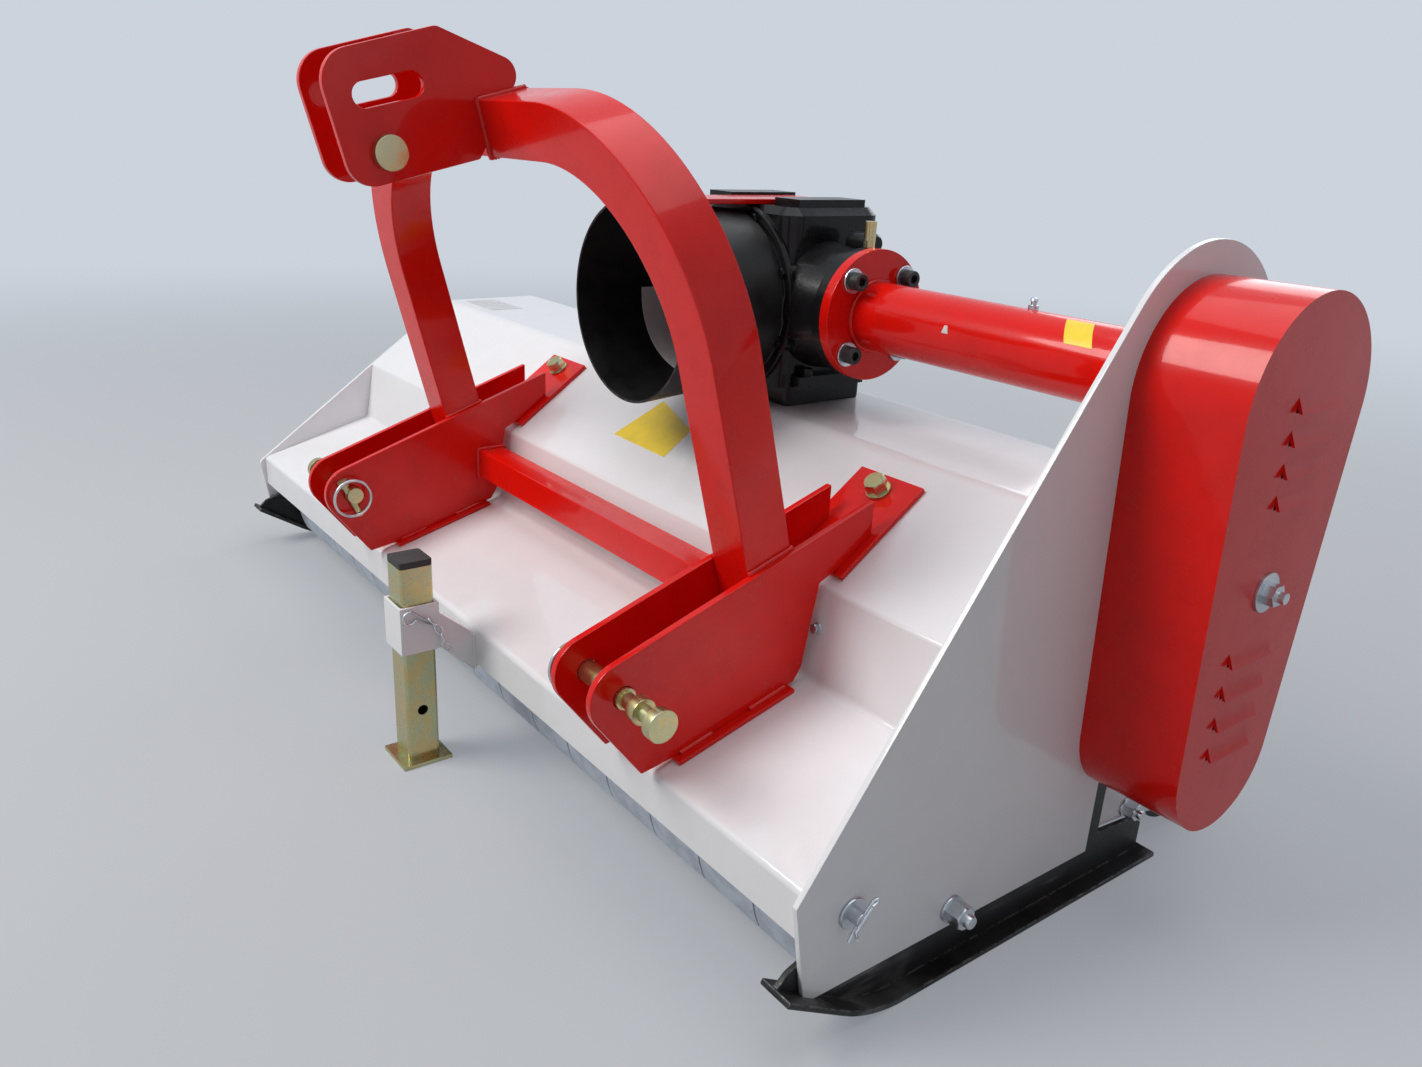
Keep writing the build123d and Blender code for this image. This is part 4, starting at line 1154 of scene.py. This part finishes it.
rod_tip = 12.0
split_shapes = (                # (out, back, up) from the rod's end, in millimetres
    ((0, 9, 11), (0, -1, 0), (0, -9, -10), (0, -13, -17)),
    ((2.5, 9, 11), (2.5, -1, 0), (3, -9, -8), (9, -12, -9)),
    ((0, 9, 11), (0.6, 12, 15.5), (1.3, 15, 16.5), (2.0, 15.5, 13.5), (2.5, 9, 11)),
)
split_paths = [
    [place(face + side * (rod_tip + out), flap_rod_y + back, flap_rod_z + up) for out, back, up in shape]
    for side, face in ((1, right_face), (-1, left_face)) for shape in split_shapes
]
wires("split_pins", "zinc_steel", split_paths, 1.7)

socket_face_x = -0.4
clip_x = socket_face_x + 3.0
clip_eye = (-50, 196)
clip_shapes = (                 # (y, z) of the two legs that leave the eye
    [*arc(clip_eye, 8, 60, 330, 16), (-32, 186), (-20, 180)],
    [*arc(clip_eye, 8, 60, 30, 3), (-38, 196), (-30, 190), (-22, 187)],
)
clip_paths = [[place(clip_x, y, z) for y, z in shape] for shape in clip_shapes]
wires("stand_clip", "zinc_steel", clip_paths, 1.5)


def chain_tree():
    """Oval links along each chain of edges, turned a quarter at every other link."""
    group, tree = geometry_tree("chain", [
        ("Finish", "NodeSocketMaterial", None),
        ("Pitch", NUMBER, 0.011),
        ("Wire", NUMBER, 0.0013),
    ])
    given = tree.add("NodeGroupInput").outputs
    line = tree.add("GeometryNodeMeshToCurve")
    tree.link(given["Mesh"], line.inputs["Mesh"])
    spots = tree.add("GeometryNodeCurveToPoints", mode="LENGTH")
    tree.fill(spots, Curve=line.outputs["Curve"], Length=given["Pitch"])
    loop = tree.add("GeometryNodeCurvePrimitiveCircle")
    tree.fill(loop, Resolution=16, Radius=tree.math("MULTIPLY", given["Pitch"], 0.5))
    oval = tree.add("GeometryNodeTransform")
    tree.fill(oval, Geometry=loop.outputs["Curve"], Rotation=(math.radians(90), 0, 0),
              Scale=(0.72, 1.35, 1.35))
    wire = tree.add("GeometryNodeCurvePrimitiveCircle")
    tree.fill(wire, Resolution=6, Radius=given["Wire"])
    link = tree.add("GeometryNodeCurveToMesh")
    tree.fill(link, Curve=oval.outputs["Geometry"], Profile_Curve=wire.outputs["Curve"])
    index = tree.add("GeometryNodeInputIndex")
    quarter = tree.math("MULTIPLY", tree.math("MODULO", index.outputs[0], 2.0), math.pi / 2)
    put = tree.add("GeometryNodeInstanceOnPoints")
    turned = turn_about_own_z(tree, spots.outputs["Rotation"], quarter)
    tree.fill(put, Points=spots.outputs["Points"], Instance=shade_round(tree, link.outputs["Mesh"]),
              Rotation=turned)
    deliver(tree, put.outputs["Instances"], given)
    return group


chain_points = [(-24, 186), (-17, 177), (-11, 168), (-12, 158), (-6, 151)]
chain = bpy.data.meshes.new("stand_chain")
chain.from_pydata([place(clip_x + 1.5, y, z) for y, z in chain_points],
                  [(i, i + 1) for i in range(len(chain_points) - 1)], [])
grow(new_piece("stand_chain", chain, "zinc_steel"), chain_tree(), Finish=finishes["zinc_steel"])


# Studio: pale floor, soft light and the camera at the photograph's place

IMAGE_WIDTH = 1422
FOCAL_PIXELS = 1121.485
SENSOR = 36.0
camera_from_pins = Vector((1.135905, -0.501535, 0.743078))
camera_azimuth = math.radians(52.604)
camera_elevation = math.radians(20.371)
camera_roll = math.radians(2.733)


def set_camera():
    data = bpy.data.cameras.new("view")
    data.sensor_width = SENSOR
    data.sensor_fit = "HORIZONTAL"
    data.lens = FOCAL_PIXELS * SENSOR / IMAGE_WIDTH
    data.shift_x = 0.00784
    data.shift_y = 0.00627
    camera = put_in_scene("view", data)
    back = Vector((math.sin(camera_azimuth) * math.cos(camera_elevation),
                   -math.cos(camera_azimuth) * math.cos(camera_elevation),
                   math.sin(camera_elevation)))
    right = (-back).cross(UP).normalized()
    up = right.cross(-back)
    axis_x = right * math.cos(camera_roll) + up * math.sin(camera_roll)
    axis_y = up * math.cos(camera_roll) - right * math.sin(camera_roll)
    turn = Matrix((axis_x, axis_y, back)).transposed().to_4x4()
    camera.matrix_world = Matrix.Translation(Vector((hitch_x, pin_y, 0)) + camera_from_pins) @ turn
    bpy.context.scene.camera = camera


def lamp(name, spot, size, power, colour):
    data = bpy.data.lights.new(name, "AREA")
    data.shape = "DISK"
    data.size = size
    data.energy = power
    data.color = colour
    light = put_in_scene(name, data)
    light.location = spot
    light.rotation_euler = (Vector(spot) - middle).to_track_quat("Z", "Y").to_euler()


def seen_directly(tree):
    """1 for what the camera sees, straight or in a reflection, and 0 for what lights the object."""
    path = tree.add("ShaderNodeLightPath")
    seen = tree.math("MAXIMUM", path.outputs["Is Camera Ray"], path.outputs["Is Glossy Ray"])
    return tree.math("MAXIMUM", seen, path.outputs["Is Transmission Ray"])


BACKDROP = (0.60, 0.65, 0.72)


def mixed(tree, factor, first, second):
    mix = tree.add("ShaderNodeMixShader")
    for value, socket in zip((factor, first.outputs[0], second.outputs[0]), mix.inputs):
        tree.link(value, socket)
    return mix.outputs[0]


def set_world():
    world = bpy.data.worlds.new("studio")
    bpy.context.scene.world = world
    world.use_nodes = True
    world.node_tree.nodes.clear()
    tree = Tree(world.node_tree)
    light = tree.add("ShaderNodeBackground")
    tree.fill(light, Color=(0.90, 0.94, 1.0, 1), Strength=0.20)
    shown = tree.add("ShaderNodeBackground")
    tree.fill(shown, Color=(*BACKDROP, 1))
    end = tree.add("ShaderNodeOutputWorld")
    tree.link(mixed(tree, seen_directly(tree), light, shown), end.inputs["Surface"])


def set_floor():
    bm = bmesh.new()
    bmesh.ops.create_circle(bm, cap_ends=True, segments=96, radius=30.0)
    floor = put_in_scene("floor", mesh_from(bm, "floor"))
    material, tree, shader = start_material("pale floor")
    tree.fill(shader, Base_Color=(0.46, 0.465, 0.475, 1), Roughness=0.9, Specular_IOR_Level=0.2)
    where = tree.add("ShaderNodeTexCoord")
    reach = tree.add("ShaderNodeVectorMath", operation="LENGTH")
    tree.link(where.outputs["Object"], reach.inputs[0])
    fade = tree.span(reach.outputs["Value"], 1.2, 5.0, 0.35, 1.0)
    glow = tree.add("ShaderNodeEmission")
    tree.fill(glow, Color=(*BACKDROP, 1))
    far = tree.math("MULTIPLY", fade, seen_directly(tree))
    end = next(n for n in material.node_tree.nodes if n.type == "OUTPUT_MATERIAL")
    tree.link(mixed(tree, far, shader, glow), end.inputs["Surface"])
    floor.data.materials.append(material)


set_camera()
set_world()
set_floor()
middle = (cad_box[0] + cad_box[1]) / 2
lamp("key", (-1.2, -3.0, 3.4), 2.4, 150, (1.0, 0.985, 0.96))
lamp("sky", (0.2, 0.4, 4.2), 4.0, 62, (0.93, 0.96, 1.0))
lamp("side", (3.8, 0.2, 1.6), 2.4, 5, (0.95, 0.97, 1.0))
lamp("back", (-1.0, 3.8, 2.4), 2.6, 35, (0.97, 0.98, 1.0))
bpy.context.scene.view_settings.view_transform = "Standard"
